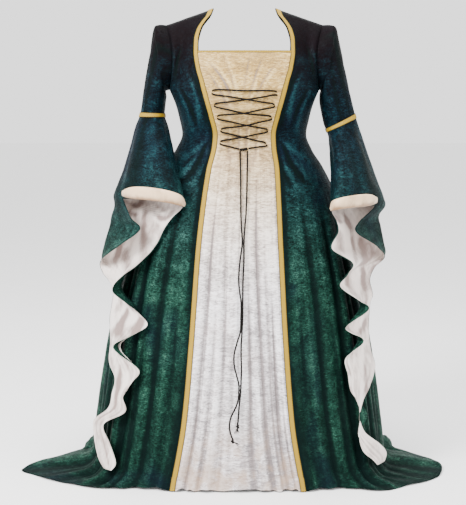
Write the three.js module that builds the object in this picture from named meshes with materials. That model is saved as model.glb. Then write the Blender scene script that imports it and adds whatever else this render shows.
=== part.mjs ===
// A floor-length medieval-style velvet gown in its worn shape, with nobody in it.
// Ivory front panel with lacing, green princess-seamed body with a train, fitted upper
// sleeves, and bell sleeves lined in ivory whose long tails fall in a cascade.
// Millimetres, +Z up. The origin is between the two neck points, where the shoulders carry the gown.
// The front faces -Y, and the wearer's left is +X.
import * as THREE from "three";

const NECK_TO_FLOOR = 1450;
const FLOOR = -NECK_TO_FLOOR;
const VELVET_WALL = 2;
const LINING_WALL = 1.2;
const BRAID_WALL = 1.5;
const SEAM_GAP = 0.34;
const LAYER_GAP = 0.4;
const LINING_GAP = 1.6;
const BRAID_WIDTH = 16;
const EDGING_WIDTH = 6;
const BUST_LEVEL = -255;
const NECK_POINT = { x: 97, y: 12, z: 0 };
const SHOULDER_POINT = { x: 247, y: 8, z: -52 };
const ARMHOLE_DEPTH = 66;
const LACE_RADIUS = 2.1;

const green = new THREE.MeshStandardMaterial({ color: 0x14463f, roughness: 0.6 });
const ivory = new THREE.MeshStandardMaterial({ color: 0xe2d6c8, roughness: 0.55 });
const gold = new THREE.MeshStandardMaterial({ color: 0xc89b3c, roughness: 0.4, metalness: 0.4 });
const black = new THREE.MeshStandardMaterial({ color: 0x17140f, roughness: 0.7 });

// Level sections of the body: half width, depth in front, depth behind, squareness of the
// outline, and how far the skirt hangs off centre.
const BODY_SECTIONS = [
  { z: -255, side: 238, front: 150, back: 116, square: 2.3, sway: 0 },
  { z: -300, side: 219, front: 156, back: 110, square: 2.3, sway: 0 },
  { z: -345, side: 207, front: 143, back: 105, square: 2.3, sway: 0 },
  { z: -395, side: 198, front: 130, back: 103, square: 2.3, sway: 0 },
  { z: -440, side: 215, front: 139, back: 114, square: 2.3, sway: -1 },
  { z: -500, side: 255, front: 160, back: 144, square: 2.3, sway: -4 },
  { z: -600, side: 306, front: 197, back: 198, square: 2.3, sway: -9 },
  { z: -750, side: 352, front: 243, back: 262, square: 2.35, sway: -14 },
  { z: -950, side: 402, front: 290, back: 330, square: 2.45, sway: -16 },
  { z: -1150, side: 438, front: 333, back: 388, square: 2.6, sway: -17 },
  { z: -1350, side: 464, front: 369, back: 430, square: 2.9, sway: -18 },
  { z: -1450, side: 474, front: 384, back: 446, square: 3.1, sway: -18 },
];
// Half width of the ivory panel, which is also the line of the neckline above it.
const FRONT_SEAM = [
  { z: 0, x: 97 }, { z: -20, x: 104 }, { z: -40, x: 119 }, { z: -66, x: 134 },
  { z: -100, x: 142 }, { z: -136, x: 143 }, { z: -188, x: 136 }, { z: -228, x: 124 },
  { z: -283, x: 109 }, { z: -338, x: 94 }, { z: -396, x: 82 }, { z: -430, x: 84 },
  { z: -500, x: 97 }, { z: -720, x: 116 }, { z: -1000, x: 133 }, { z: -1245, x: 153 },
  { z: -1450, x: 188 },
];
const BACK_SEAM = [
  { z: 0, x: 97 }, { z: -20, x: 106 }, { z: -60, x: 136 }, { z: -110, x: 148 },
  { z: -150, x: 148 }, { z: -255, x: 132 }, { z: -396, x: 80 }, { z: -500, x: 100 },
  { z: -750, x: 138 }, { z: -1100, x: 190 }, { z: -1450, x: 245 },
];
// Ridges of the hanging folds across a panel: place, width and height, as shares of the
// panel's width and of the fold depth, and the level where the ridge starts.
const FRONT_FOLDS = [
  { at: 0.08, wide: 0.034, tall: 0.6, from: -520 }, { at: 0.19, wide: 0.038, tall: 0.85, from: -470 },
  { at: 0.3, wide: 0.034, tall: 0.7, from: -560 }, { at: 0.4, wide: 0.036, tall: 0.8, from: -450 },
  { at: 0.5, wide: 0.036, tall: 1.0, from: -430 }, { at: 0.61, wide: 0.034, tall: 0.75, from: -470 },
  { at: 0.71, wide: 0.036, tall: 0.9, from: -440 }, { at: 0.82, wide: 0.04, tall: 1.1, from: -520 },
  { at: 0.93, wide: 0.03, tall: 0.7, from: -620 },
];
const SIDE_FRONT_FOLDS = [
  { at: 0.2, wide: 0.055, tall: 0.8, from: -520 }, { at: 0.37, wide: 0.06, tall: 1.0, from: -470 },
  { at: 0.55, wide: 0.06, tall: 0.9, from: -560 }, { at: 0.72, wide: 0.06, tall: 1.1, from: -480 },
  { at: 0.88, wide: 0.05, tall: 0.8, from: -540 },
];
const SIDE_BACK_FOLDS = [
  { at: 0.18, wide: 0.06, tall: 0.9, from: -500 }, { at: 0.36, wide: 0.06, tall: 1.1, from: -460 },
  { at: 0.55, wide: 0.06, tall: 0.9, from: -520 }, { at: 0.74, wide: 0.06, tall: 1.0, from: -480 },
];
const BACK_FOLDS = [
  { at: 0.1, wide: 0.045, tall: 0.8, from: -500 }, { at: 0.26, wide: 0.05, tall: 1.0, from: -450 },
  { at: 0.42, wide: 0.05, tall: 1.1, from: -430 }, { at: 0.58, wide: 0.05, tall: 1.1, from: -430 },
  { at: 0.74, wide: 0.05, tall: 1.0, from: -450 }, { at: 0.9, wide: 0.045, tall: 0.8, from: -500 },
];
const FOLD_DEPTH = [
  { z: -400, deep: 0 }, { z: -500, deep: 3 }, { z: -700, deep: 8 }, { z: -1000, deep: 14 },
  { z: -1300, deep: 20 }, { z: -1450, deep: 22 },
];
// The hem's outline on the floor, as a radius about a point behind the centre, by the turn
// from straight ahead in degrees. The train's two wings differ.
const TRAIN_CENTRE_Y = 40;
const HEM_OUTLINE = {
  right: [
    { turn: 0, reach: 428 }, { turn: 28, reach: 478 }, { turn: 41, reach: 549 }, { turn: 48.5, reach: 588 },
    { turn: 55.4, reach: 624 }, { turn: 61.5, reach: 664 }, { turn: 67, reach: 692 }, { turn: 71.5, reach: 722 },
    { turn: 75, reach: 690 }, { turn: 80, reach: 610 }, { turn: 84.5, reach: 562 }, { turn: 90, reach: 530 },
    { turn: 110, reach: 545 }, { turn: 130, reach: 590 }, { turn: 150, reach: 650 }, { turn: 180, reach: 700 },
  ],
  left: [
    { turn: 0, reach: 428 }, { turn: 28, reach: 478 }, { turn: 41, reach: 544 }, { turn: 49, reach: 606 },
    { turn: 55, reach: 626 }, { turn: 61.8, reach: 664 }, { turn: 67.6, reach: 682 }, { turn: 73, reach: 678 },
    { turn: 78, reach: 645 }, { turn: 83, reach: 600 }, { turn: 87, reach: 560 }, { turn: 92, reach: 530 },
    { turn: 110, reach: 545 }, { turn: 130, reach: 590 }, { turn: 150, reach: 650 }, { turn: 180, reach: 700 },
  ],
};

// Rows shared by the body panels: shares of the way from shoulder to bust, then levels, then
// shares of the way from where the cloth nears the floor to the hem.
const FRONT_YOKE_ROWS = [0, 0.13, 0.26, 0.4, 0.533, 0.557, 0.7, 0.86];
const BACK_YOKE_ROWS = [0, 0.15, 0.3, 0.45, 0.588, 0.651, 0.76, 0.88];
const SKIRT_ROWS = [
  -255, -300, -345, -395, -450, -520, -620, -760, -920, -1080, -1230, -1350,
];
const FLOOR_ROWS = [0, 0.3, 0.6, 1];
const BEND_HEIGHT = 42;
const HEM_LIFT = 2.3;

const lerp = (a, b, t) => a + (b - a) * t;
const clamp01 = (t) => Math.min(1, Math.max(0, t));
const smooth = (t) => clamp01(t) ** 2 * (3 - 2 * clamp01(t));

// A smooth curve through one column of a table, with no overshoot between its rows.
function column(table, key, by = "z") {
  const rows = [...table].sort((a, b) => a[by] - b[by]);
  const slopes = rows.slice(1).map((r, i) => (r[key] - rows[i][key]) / (r[by] - rows[i][by]));
  const tangents = rows.map((r, i) => {
    if (i === 0) return slopes[0];
    if (i === rows.length - 1) return slopes[i - 1];
    const [a, b] = [slopes[i - 1], slopes[i]];
    return a * b <= 0 ? 0 : (2 * a * b) / (a + b);
  });
  return (at) => {
    if (at <= rows[0][by]) return rows[0][key];
    if (at >= rows[rows.length - 1][by]) return rows[rows.length - 1][key];
    const i = rows.findIndex((r) => r[by] > at) - 1;
    const span = rows[i + 1][by] - rows[i][by];
    const t = (at - rows[i][by]) / span;
    return (
      (2 * t ** 3 - 3 * t ** 2 + 1) * rows[i][key] + (t ** 3 - 2 * t ** 2 + t) * span * tangents[i] +
      (3 * t ** 2 - 2 * t ** 3) * rows[i + 1][key] + (t ** 3 - t ** 2) * span * tangents[i + 1]
    );
  };
}

const body = Object.fromEntries(
  ["side", "front", "back", "square", "sway"].map((key) => [key, column(BODY_SECTIONS, key)]),
);
const frontSeam = column(FRONT_SEAM, "x");
const backSeam = column(BACK_SEAM, "x");
const foldDepth = column(FOLD_DEPTH, "deep");
const hemReach = {
  right: column(HEM_OUTLINE.right, "reach", "turn"),
  left: column(HEM_OUTLINE.left, "reach", "turn"),
};

// A point of the level section at z, by its turn from straight ahead (0) to straight back (pi).
function sectionPoint(z, turn, hand) {
  const power = 2 / body.square(z);
  const depth = Math.cos(turn) > 0 ? -body.front(z) : body.back(z);
  return new THREE.Vector3(
    hand * body.side(z) * Math.abs(Math.sin(turn)) ** power + body.sway(z),
    depth * Math.abs(Math.cos(turn)) ** power,
    z,
  );
}
const seamTurn = (x, z) => Math.asin(Math.min(1, x / body.side(z)) ** (body.square(z) / 2));
const frontTurn = (z) => seamTurn(frontSeam(z), z);
const backTurn = (z) => Math.PI - seamTurn(backSeam(z), z);

// A skirt point between the bend near the floor and the hem: straight down where the hem only
// touches the floor, and out along the floor where the train lies.
function floorPoint(turn, hand, share) {
  const top = sectionPoint(FLOOR + BEND_HEIGHT, turn, hand);
  const foot = sectionPoint(FLOOR, turn, hand);
  const centre = new THREE.Vector3(body.sway(FLOOR), TRAIN_CENTRE_Y, FLOOR);
  const out = foot.clone().sub(centre).setZ(0);
  const contact = out.length();
  out.normalize();
  const degrees = THREE.MathUtils.radToDeg(Math.atan2(hand * out.x, -out.y));
  const reach = hemReach[hand < 0 ? "right" : "left"](degrees);
  const lying = smooth((reach - contact - 15) / 60);
  const hanging = top.clone().lerp(foot, share).setZ(FLOOR + lerp(BEND_HEIGHT, HEM_LIFT, share));
  const bendShare = 0.3;
  const rise = 12 * (1 - smooth((share - bendShare) / (1 - bendShare)) * 0.7);
  const corner = contact + BEND_HEIGHT * 0.8;
  const quarter = (clamp01(share / bendShare) * Math.PI) / 2;
  const radius = share < bendShare
    ? lerp(contact, corner, 1 - Math.cos(quarter))
    : lerp(corner, Math.max(reach, corner + 5), (share - bendShare) / (1 - bendShare));
  const height = share < bendShare
    ? lerp(BEND_HEIGHT, HEM_LIFT + 12, Math.sin(quarter))
    : HEM_LIFT + rise;
  const laid = centre.clone().addScaledVector(out, radius).setZ(FLOOR + height);
  if (share === 0) laid.copy(top);
  return hanging.lerp(laid, lying);
}

// The smooth shape under the folds. A row is {yoke}, {z} or {floor}; `spread` is the share of
// the way from seam to armhole, for panels that have an armhole edge.
function bodyShape(row, turnAt, hand, seamLine, spread = 0) {
  if (row.floor !== undefined) return floorPoint(turnAt(FLOOR), hand, row.floor);
  if (row.z !== undefined) return sectionPoint(row.z, turnAt(row.z), hand);
  const share = row.yoke;
  const low = sectionPoint(BUST_LEVEL, turnAt(BUST_LEVEL), hand);
  const [edge, side] = [seamLine(BUST_LEVEL), body.side(BUST_LEVEL)];
  const within = Math.min(1, Math.abs(low.x) / edge);
  const reached = clamp01((Math.abs(low.x) - edge) / (side - edge));
  const across = lerp(spread, reached, share ** 3);
  const behind = seamLine === backSeam ? 1 : -1;
  const depth = behind > 0 ? body.back(BUST_LEVEL) : body.front(BUST_LEVEL);
  const power = body.square(BUST_LEVEL);
  const lowX = within < 1 ? Math.abs(low.x) : lerp(edge, side, across);
  const lowY = behind * depth * Math.max(0, 1 - (lowX / side) ** power) ** (1 / power);
  const neckZ = lerp(NECK_POINT.z, BUST_LEVEL, share);
  const armhole = armholePoint(share, behind);
  const forward = 0.6 * Math.sqrt(1 - (1 - share) ** 2) + 0.4 * share;
  const start = lerp(0.5, 0.9, share ** 3);
  const level = lerp(NECK_POINT.y, SHOULDER_POINT.y, across);
  const flat = lerp(level, 0, forward);
  const chest = Math.abs(lowY * forward);
  const arm = Math.abs(armhole.y - flat) * smooth((across - start) / (1 - start));
  return new THREE.Vector3(
    hand * within * lerp(seamLine(neckZ), armhole.x, across),
    flat + behind * (chest ** 1.7 + arm ** 1.7) ** (1 / 1.7),
    lerp(neckZ, armhole.z, across),
  );
}

// The armhole edge from the shoulder (0) to the underarm (1), in front or behind.
function armholePoint(share, behind) {
  return new THREE.Vector3(
    lerp(SHOULDER_POINT.x, body.side(BUST_LEVEL), share) - 18 * Math.sin(Math.PI * share),
    lerp(SHOULDER_POINT.y, 0, share) + behind * ARMHOLE_DEPTH * Math.sin(Math.PI * share) ** 0.8,
    lerp(SHOULDER_POINT.z, BUST_LEVEL, share),
  );
}

// The way a fold stands out: straight out of the hanging skirt, and up out of the train.
function foldDirection(row, turn, hand) {
  const a = sectionPoint(row.z ?? FLOOR, turn - 0.01, hand);
  const b = sectionPoint(row.z ?? FLOOR, turn + 0.01, hand);
  const out = new THREE.Vector3(hand * (b.y - a.y), -hand * (b.x - a.x), 0).normalize();
  if (row.z !== undefined) return out;
  const lies = floorPoint(turn, hand, 1).distanceTo(sectionPoint(FLOOR, turn, hand));
  const up = smooth(lies / 60) * smooth(row.floor * 1.8);
  return out.lerp(new THREE.Vector3(0, 0, 1), up).normalize();
}

// How far the folds of a panel stand out at one place across it.
function foldHeight(folds, across, z) {
  const edges = smooth(across / 0.09) * smooth((1 - across) / 0.09);
  const ridges = folds.reduce((sum, fold) => {
    const started = smooth((fold.from - z) / 260);
    return sum + started * fold.tall * Math.exp(-(((across - fold.at) / fold.wide) ** 2));
  }, 0);
  return foldDepth(z) * edges * (ridges - 0.3);
}

// Columns across a panel: its edges, its ridges, and the valleys between them.
function foldColumns(folds) {
  const ridges = folds.map((fold) => fold.at);
  const valleys = ridges.slice(1).map((at, i) => (at + ridges[i]) / 2);
  const sides = [0, ridges[0] / 2, (1 + ridges[ridges.length - 1]) / 2, 1];
  return [...ridges, ...valleys, ...sides].sort((a, b) => a - b);
}

// A body panel as a grid. `turns(across, z)` gives the turn, and `hand` which side it is on.
function panelGrid(panel) {
  return panel.rows.map((row) => panel.columns.map((across) => {
    const z = row.z ?? (row.floor === undefined ? BUST_LEVEL : FLOOR);
    const turnAt = (level) => panel.turns(across, level);
    const hand = panel.handAt ? panel.handAt(across) : panel.hand;
    const level = row.yoke === undefined ? 0 : lerp(NECK_POINT.z, BUST_LEVEL, row.yoke);
    const spread = panel.spread ? panel.spread(across, panel.seam(level)) : 0;
    const point = bodyShape(row, (at) => Math.abs(turnAt(at)), hand, panel.seam, spread);
    if (row.yoke !== undefined) return point;
    const flat = row.floor === undefined ? 1 : 1 - 0.35 * row.floor;
    const height = foldHeight(panel.folds, across, z) * flat;
    const lifted = point.addScaledVector(foldDirection(row, Math.abs(turnAt(z)), hand), height);
    lifted.z = Math.max(lifted.z, FLOOR + HEM_LIFT);
    return lifted;
  }));
}

// A surface from a grid of points; a missing point leaves a hole. `loop` joins its sides.
function surface(grid, { loop = false, flip = false, slant = () => false } = {}) {
  const points = [];
  const index = grid.map((row) => row.map((point) => (point ? points.push(point) - 1 : -1)));
  const faces = [];
  for (let r = 0; r + 1 < grid.length; r += 1) {
    const width = grid[r].length;
    for (let c = 0; c < (loop ? width : width - 1); c += 1) {
      const d = (c + 1) % width;
      const quad = [index[r][d], index[r + 1][d], index[r + 1][c], index[r][c]];
      if (slant(r, c)) quad.unshift(quad.pop());
      if (quad.every((at) => at >= 0)) faces.push(flip ? [quad[0], quad[3], quad[2], quad[1]] : quad);
    }
  }
  return { points, faces };
}

// Normals pooled by place, so that two pieces sewn together stand square to their seam.
const pooled = new Map();
const placeKey = (p) => [p.x, p.y, p.z].map((v) => Math.round(v * 50)).join();
function pool(...surfaces) {
  for (const { points, faces } of surfaces) {
    for (const [a, b, c, d] of faces) {
      const across = points[c].clone().sub(points[a]);
      const normal = across.cross(points[d].clone().sub(points[b]));
      for (const at of [a, b, c, d]) {
        const key = placeKey(points[at]);
        pooled.set(key, (pooled.get(key) ?? new THREE.Vector3()).add(normal));
      }
    }
  }
}
const normalAt = (point) => pooled.get(placeKey(point)).clone().normalize();

function edgesOf(faces) {
  const sides = new Map();
  for (const face of faces) {
    face.forEach((a, i) => sides.set(`${a},${face[(i + 1) % face.length]}`, [a, face[(i + 1) % face.length]]));
  }
  return [...sides.values()].filter(([a, b]) => !sides.has(`${b},${a}`));
}

// A cloth wall under a surface: `lift` moves its face out, `trim` draws its edges in.
function wall(cloth, thickness, { lift = 0, trim = SEAM_GAP / 2, normals } = {}) {
  const { points, faces } = cloth;
  const up = normals ?? points.map(normalAt);
  const rim = edgesOf(faces);
  const inward = points.map(() => []);
  for (const [a, b] of rim) {
    const along = points[b].clone().sub(points[a]);
    for (const at of [a, b]) inward[at].push(up[at].clone().cross(along).normalize());
  }
  const outer = points.map((point, i) => {
    const placed = point.clone().addScaledVector(up[i], lift);
    if (inward[i].length < 2) return placed;
    const [m, n] = inward[i];
    return placed.addScaledVector(m.clone().add(n), trim / Math.max(0.4, 1 + m.dot(n)));
  });
  const inner = outer.map((point, i) => point.clone().addScaledVector(up[i], -thickness));
  const n = points.length;
  const triangles = [];
  for (const [a, b, c, d] of faces) {
    triangles.push(a, b, c, a, c, d);
    triangles.push(n + a, n + c, n + b, n + a, n + d, n + c);
  }
  for (const [a, b] of rim) triangles.push(b, a, n + a, b, n + a, n + b);
  const geometry = new THREE.BufferGeometry();
  geometry.setAttribute(
    "position",
    new THREE.Float32BufferAttribute([...outer, ...inner].flatMap((p) => p.toArray()), 3),
  );
  geometry.setIndex(triangles);
  geometry.computeVertexNormals();
  return geometry;
}

const gown = new THREE.Group();
gown.name = "medieval_gown";
function add(name, geometry, material) {
  const mesh = new THREE.Mesh(geometry, material.clone());
  mesh.name = name;
  gown.add(mesh);
}

// The side panels keep a flat first column as wide as the braid that is sewn along them.
const FLAT_EDGE = BRAID_WIDTH + 2;
function sideTurns(seamTurnAt, folds) {
  const first = foldColumns(folds)[1];
  return (across, z) => {
    const start = seamTurnAt(z);
    const [a, b] = [sectionPoint(z, start, 1), sectionPoint(z, lerp(start, Math.PI / 2, 0.1), 1)];
    const flat = (0.1 * FLAT_EDGE) / a.distanceTo(b);
    const share = across <= first
      ? (flat * across) / first
      : lerp(flat, 1, (across - first) / (1 - first));
    return lerp(start, Math.PI / 2, share);
  };
}

function sideSpread(folds) {
  const first = foldColumns(folds)[1];
  return (across, seamX) => {
    const flat = FLAT_EDGE / (SHOULDER_POINT.x - 12 - seamX);
    if (across <= first) return (flat * across) / first;
    return lerp(flat, 1, (across - first) / (1 - first));
  };
}

const skirtRows = [...SKIRT_ROWS.map((z) => ({ z })), ...FLOOR_ROWS.map((floor) => ({ floor }))];
const rowsFrom = (shares, start = 0) => [
  ...shares.filter((yoke) => yoke >= start).map((yoke) => ({ yoke })),
  ...skirtRows,
];
const sides = { right: -1, left: 1 };
const frontGrid = panelGrid({
  rows: rowsFrom(FRONT_YOKE_ROWS, 0.533),
  columns: foldColumns(FRONT_FOLDS),
  folds: FRONT_FOLDS,
  seam: frontSeam,
  turns: (across, z) => (2 * across - 1) * frontTurn(z),
  handAt: (across) => (across < 0.5 ? -1 : 1),
});
const frontPanel = surface(frontGrid, { flip: true });
const centreBackGrid = panelGrid({
  rows: rowsFrom(BACK_YOKE_ROWS, 0.588),
  columns: foldColumns(BACK_FOLDS),
  folds: BACK_FOLDS,
  seam: backSeam,
  turns: (across, z) => Math.PI - Math.abs(2 * across - 1) * (Math.PI - backTurn(z)),
  handAt: (across) => (across < 0.5 ? -1 : 1),
});
const centreBack = surface(centreBackGrid);
const sideFrontGrid = {};
const sideBackGrid = {};
const sideFront = {};
const sideBack = {};
for (const [side, hand] of Object.entries(sides)) {
  sideFrontGrid[side] = panelGrid({
    rows: rowsFrom(FRONT_YOKE_ROWS),
    columns: foldColumns(SIDE_FRONT_FOLDS),
    folds: SIDE_FRONT_FOLDS,
    seam: frontSeam,
    turns: sideTurns(frontTurn, SIDE_FRONT_FOLDS),
    spread: sideSpread(SIDE_FRONT_FOLDS),
    hand,
  });
  sideBackGrid[side] = panelGrid({
    rows: rowsFrom(BACK_YOKE_ROWS),
    columns: foldColumns(SIDE_BACK_FOLDS),
    folds: SIDE_BACK_FOLDS,
    seam: backSeam,
    turns: sideTurns(backTurn, SIDE_BACK_FOLDS),
    spread: sideSpread(SIDE_BACK_FOLDS),
    hand,
  });
  sideFront[side] = surface(sideFrontGrid[side], { flip: hand > 0 });
  sideBack[side] = surface(sideBackGrid[side], { flip: hand < 0 });
}
for (const side of Object.keys(sides)) {
  for (const point of [...sideFrontGrid[side][0], ...sideBackGrid[side][0]]) {
    const up = new THREE.Vector3(0.33 * sides[side], 0, 0.94);
    pooled.set(placeKey(point), up.multiplyScalar(1e9));
  }
}

// Rings of the sleeves, down the arm: the outer, front, inner and back point of each, with x
// measured away from the middle of the gown.
const UPPER_SLEEVES = {
  right: [
    { outer: [272, 0, -52], inner: [258, 0, -261], deep: 68 },
    { outer: [287, 0, -66], inner: [249, 0, -275], deep: 62 },
    { outer: [300, 0, -140], inner: [250, 0, -288], deep: 58 },
    { outer: [313, 0, -215], inner: [252, 0, -303], deep: 55 },
    { outer: [327, 0, -300], inner: [254, 0, -325], deep: 52 },
    { outer: [332, 0, -334], inner: [254, 0, -337], deep: 50 },
  ],
  left: [
    { outer: [276, 0, -53], inner: [258, 0, -261], deep: 68 },
    { outer: [292, 0, -67], inner: [240, 0, -274], deep: 62 },
    { outer: [306, 0, -130], inner: [240, -2, -300], deep: 58 },
    { outer: [321, 0, -200], inner: [245, -4, -328], deep: 55 },
    { outer: [341, 0, -285], inner: [253, -7, -362], deep: 52 },
    { outer: [354, 0, -337], inner: [262, -10, -385], deep: 50 },
  ],
};
const BELLS = {
  right: [
    { outer: [349, -8, -376], front: [300, -85, -374], inner: [242, -40, -372], back: [292, 25, -374] },
    { outer: [365, -25, -437], front: [300, -140, -430], inner: [228, -95, -428], back: [292, 0, -440] },
    { outer: [386, -45, -510], front: [298, -195, -500], inner: [203, -155, -515], back: [294, -50, -520] },
    { outer: [412, -62, -579], front: [290, -224, -549], inner: [182, -196, -590], back: [298, -88, -580] },
    { outer: [413, -62, -604], front: [292, -220, -588], inner: [187, -195, -614], back: [300, -96, -612] },
  ],
  left: [
    { outer: [374, -8, -395], front: [313, -92, -400], inner: [268, -45, -410], back: [320, 24, -400] },
    { outer: [392, -25, -450], front: [325, -145, -450], inner: [270, -105, -455], back: [327, -5, -455] },
    { outer: [414, -45, -516], front: [335, -198, -512], inner: [270, -150, -525], back: [338, -45, -525] },
    { outer: [440, -66, -588], front: [340, -230, -571], inner: [264, -195, -599], back: [345, -85, -595] },
    { outer: [446, -62, -622], front: [335, -222, -609], inner: [267, -197, -626], back: [350, -95, -627] },
  ],
};
// Level lines round the open tail of each bell, from its outer edge past the outermost fold
// and the back to its inner edge, as x away from the middle and y. Lower down the tail is a
// ribbon between its two edges, bowed back by its sag.
const TAILS = {
  right: [
    { z: -645, edge: [345, -202], fold: [418, -65], back: [315, -110], inner: [215, -195] },
    { z: -678, edge: [317, -225], fold: [425, -70], back: [330, -112], inner: [240, -195] },
    { z: -735, edge: [390, -180], fold: [441, -72], back: [352, -110], inner: [270, -200] },
    { z: -790, edge: [454, -98], fold: [450, -58], back: [388, -104], inner: [324, -206] },
    { z: -830, edge: [450, -80], inner: [380, -214], sag: 34 },
    { z: -866, edge: [426, -72], inner: [402, -224], sag: 28 },
    { z: -900, edge: [416, -92], inner: [362, -236], sag: 28 },
    { z: -930, edge: [419, -105], inner: [320, -245], sag: 22 },
    { z: -965, edge: [424, -115], inner: [291, -250], sag: 20 },
    { z: -1000, edge: [422, -122], inner: [337, -250], sag: 24 },
    { z: -1040, edge: [417, -130], inner: [401, -240], sag: 26 },
    { z: -1095, edge: [419, -134], inner: [316, -258], sag: 16 },
    { z: -1135, edge: [397, -152], inner: [337, -260], sag: 16 },
    { z: -1181, edge: [405, -170], inner: [368, -260], sag: 12 },
    { z: -1225, edge: [416, -194], inner: [358, -263], sag: 8 },
    { z: -1278, edge: [468, -200], inner: [430, -255], sag: 8 },
    { z: -1325, edge: [466, -206], inner: [407, -263], sag: 6 },
    { z: -1375, edge: [449, -225], inner: [386, -265], sag: 5 },
    { z: -1402, edge: [426, -246], inner: [400, -258], sag: 2 },
  ],
  left: [
    { z: -655, edge: [352, -204], fold: [426, -64], back: [352, -100], inner: [278, -216] },
    { z: -684, edge: [340, -225], fold: [432, -68], back: [354, -106], inner: [282, -225] },
    { z: -736, edge: [412, -150], fold: [442, -72], back: [366, -110], inner: [262, -225] },
    { z: -778, edge: [445, -96], fold: [444, -58], back: [384, -108], inner: [326, -235] },
    { z: -812, edge: [415, -82], inner: [314, -238], sag: 26 },
    { z: -850, edge: [399, -90], inner: [290, -240], sag: 24 },
    { z: -895, edge: [406, -110], inner: [352, -240], sag: 26 },
    { z: -921, edge: [397, -120], inner: [378, -240], sag: 26 },
    { z: -975, edge: [392, -138], inner: [306, -258], sag: 20 },
    { z: -1015, edge: [390, -148], inner: [364, -250], sag: 22 },
    { z: -1065, edge: [397, -150], inner: [308, -264], sag: 18 },
    { z: -1115, edge: [411, -155], inner: [314, -265], sag: 16 },
    { z: -1165, edge: [388, -185], inner: [324, -265], sag: 14 },
    { z: -1200, edge: [364, -205], inner: [352, -261], sag: 10 },
    { z: -1245, edge: [352, -214], inner: [378, -254], sag: 6 },
    { z: -1290, edge: [368, -228], inner: [350, -270], sag: 8 },
    { z: -1340, edge: [420, -214], inner: [358, -270], sag: 6 },
    { z: -1376, edge: [444, -210], inner: [392, -258], sag: 4 },
    { z: -1396, edge: [436, -226], inner: [408, -242], sag: 2 },
  ],
};
const AROUND = 16;
const EDGE_COLUMN = 2;
const INNER_COLUMN = 8;
const HEAD_ROWS = 3;
const HEAD_TRIM = 0.6;
// The lace's two ends cross five times between loops beside the braids, and tie below.
const LACES = {
  a: [
    { x: 96, z: -261 }, { x: -96, z: -258 }, { x: -98, z: -269 }, { x: 8, z: -286 }, { x: 90, z: -300 },
    { x: 92, z: -308 }, { x: -2, z: -328 }, { x: -80, z: -335 }, { x: -81, z: -345 }, { x: 8, z: -365 },
    { x: 69, z: -377 }, { x: 71, z: -385 }, { x: -5, z: -401 }, { x: -71, z: -413 }, { x: -74, z: -422 },
    { x: -16, z: -437 },
  ],
  b: [
    { x: 98, z: -272 }, { x: 8, z: -286 }, { x: -89, z: -299 }, { x: -91, z: -307 }, { x: -2, z: -328 },
    { x: 80, z: -337 }, { x: 84, z: -346 }, { x: 8, z: -365 }, { x: -68, z: -375 }, { x: -72, z: -384 },
    { x: -5, z: -401 }, { x: 64, z: -418 }, { x: 69, z: -427 }, { x: 13, z: -435 },
  ],
};
const TIE = { x: -1.5, z: -438, wide: 13.5, tall: 7, deep: 5 };
const CORD_ENDS = {
  right: [
    { x: -13, z: -443.8 }, { x: -11, z: -515 }, { x: -10, z: -625 }, { x: -8, z: -672 }, { x: -5.7, z: -716 },
    { x: -12, z: -766 }, { x: -16, z: -824 }, { x: -13, z: -860 }, { x: -9, z: -889 }, { x: -9.3, z: -935 },
    { x: -11.3, z: -976 }, { x: -19, z: -1002 }, { x: -26.5, z: -1028 }, { x: -30, z: -1050 },
    { x: -28, z: -1078 }, { x: -20.5, z: -1107 }, { x: -15.5, z: -1127 }, { x: -15.3, z: -1150 },
    { x: -17.1, z: -1173 }, { x: -25, z: -1196 }, { x: -39, z: -1225 }, { x: -43, z: -1251 },
    { x: -39, z: -1272 }, { x: -33.5, z: -1286 },
  ],
  left: [
    { x: 9.7, z: -443.8 }, { x: 9, z: -521 }, { x: 6, z: -625 }, { x: 2, z: -672 }, { x: -0.5, z: -716 },
    { x: -0.5, z: -766 }, { x: -3, z: -824 }, { x: -3.9, z: -889 }, { x: -4.1, z: -935 }, { x: -6.1, z: -976 },
    { x: -8.6, z: -1034 }, { x: -7.5, z: -1086 }, { x: -8.8, z: -1127 }, { x: -9.9, z: -1150 },
    { x: -12, z: -1173 }, { x: -15, z: -1202 }, { x: -17, z: -1231 }, { x: -18.5, z: -1243 },
  ],
};
const KNOT = { wide: 5.5, tall: 6.5 };

const toSide = (hand, [x, y, z]) => new THREE.Vector3(hand * x, y, z);
function ringPoint(hand, ring, turn) {
  const [outer, inner] = [toSide(hand, ring.outer), toSide(hand, ring.inner)];
  const centre = outer.clone().add(inner).multiplyScalar(0.5);
  const point = centre.clone().addScaledVector(outer.clone().sub(centre), Math.cos(turn));
  const swing = Math.sin(turn);
  if (ring.deep) return point.add(new THREE.Vector3(0, -ring.deep * swing, 0));
  const reach = toSide(hand, swing > 0 ? ring.front : ring.back).sub(centre);
  return point.addScaledVector(reach, Math.abs(swing));
}

// The skirt under a sleeve keeps it off: a point too near is moved straight forward.
function offSkirt(point, gap) {
  const room = gap + foldDepth(point.z) * 0.7;
  const [wide, deep] = [body.side(point.z) + room, body.front(point.z) + room];
  const across = Math.abs(point.x - body.sway(point.z)) / wide;
  if (point.y > 0 || across >= 1) return point;
  const limit = -deep * (1 - across ** body.square(point.z)) ** (1 / body.square(point.z));
  point.y = Math.min(point.y, limit);
  return point;
}

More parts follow.
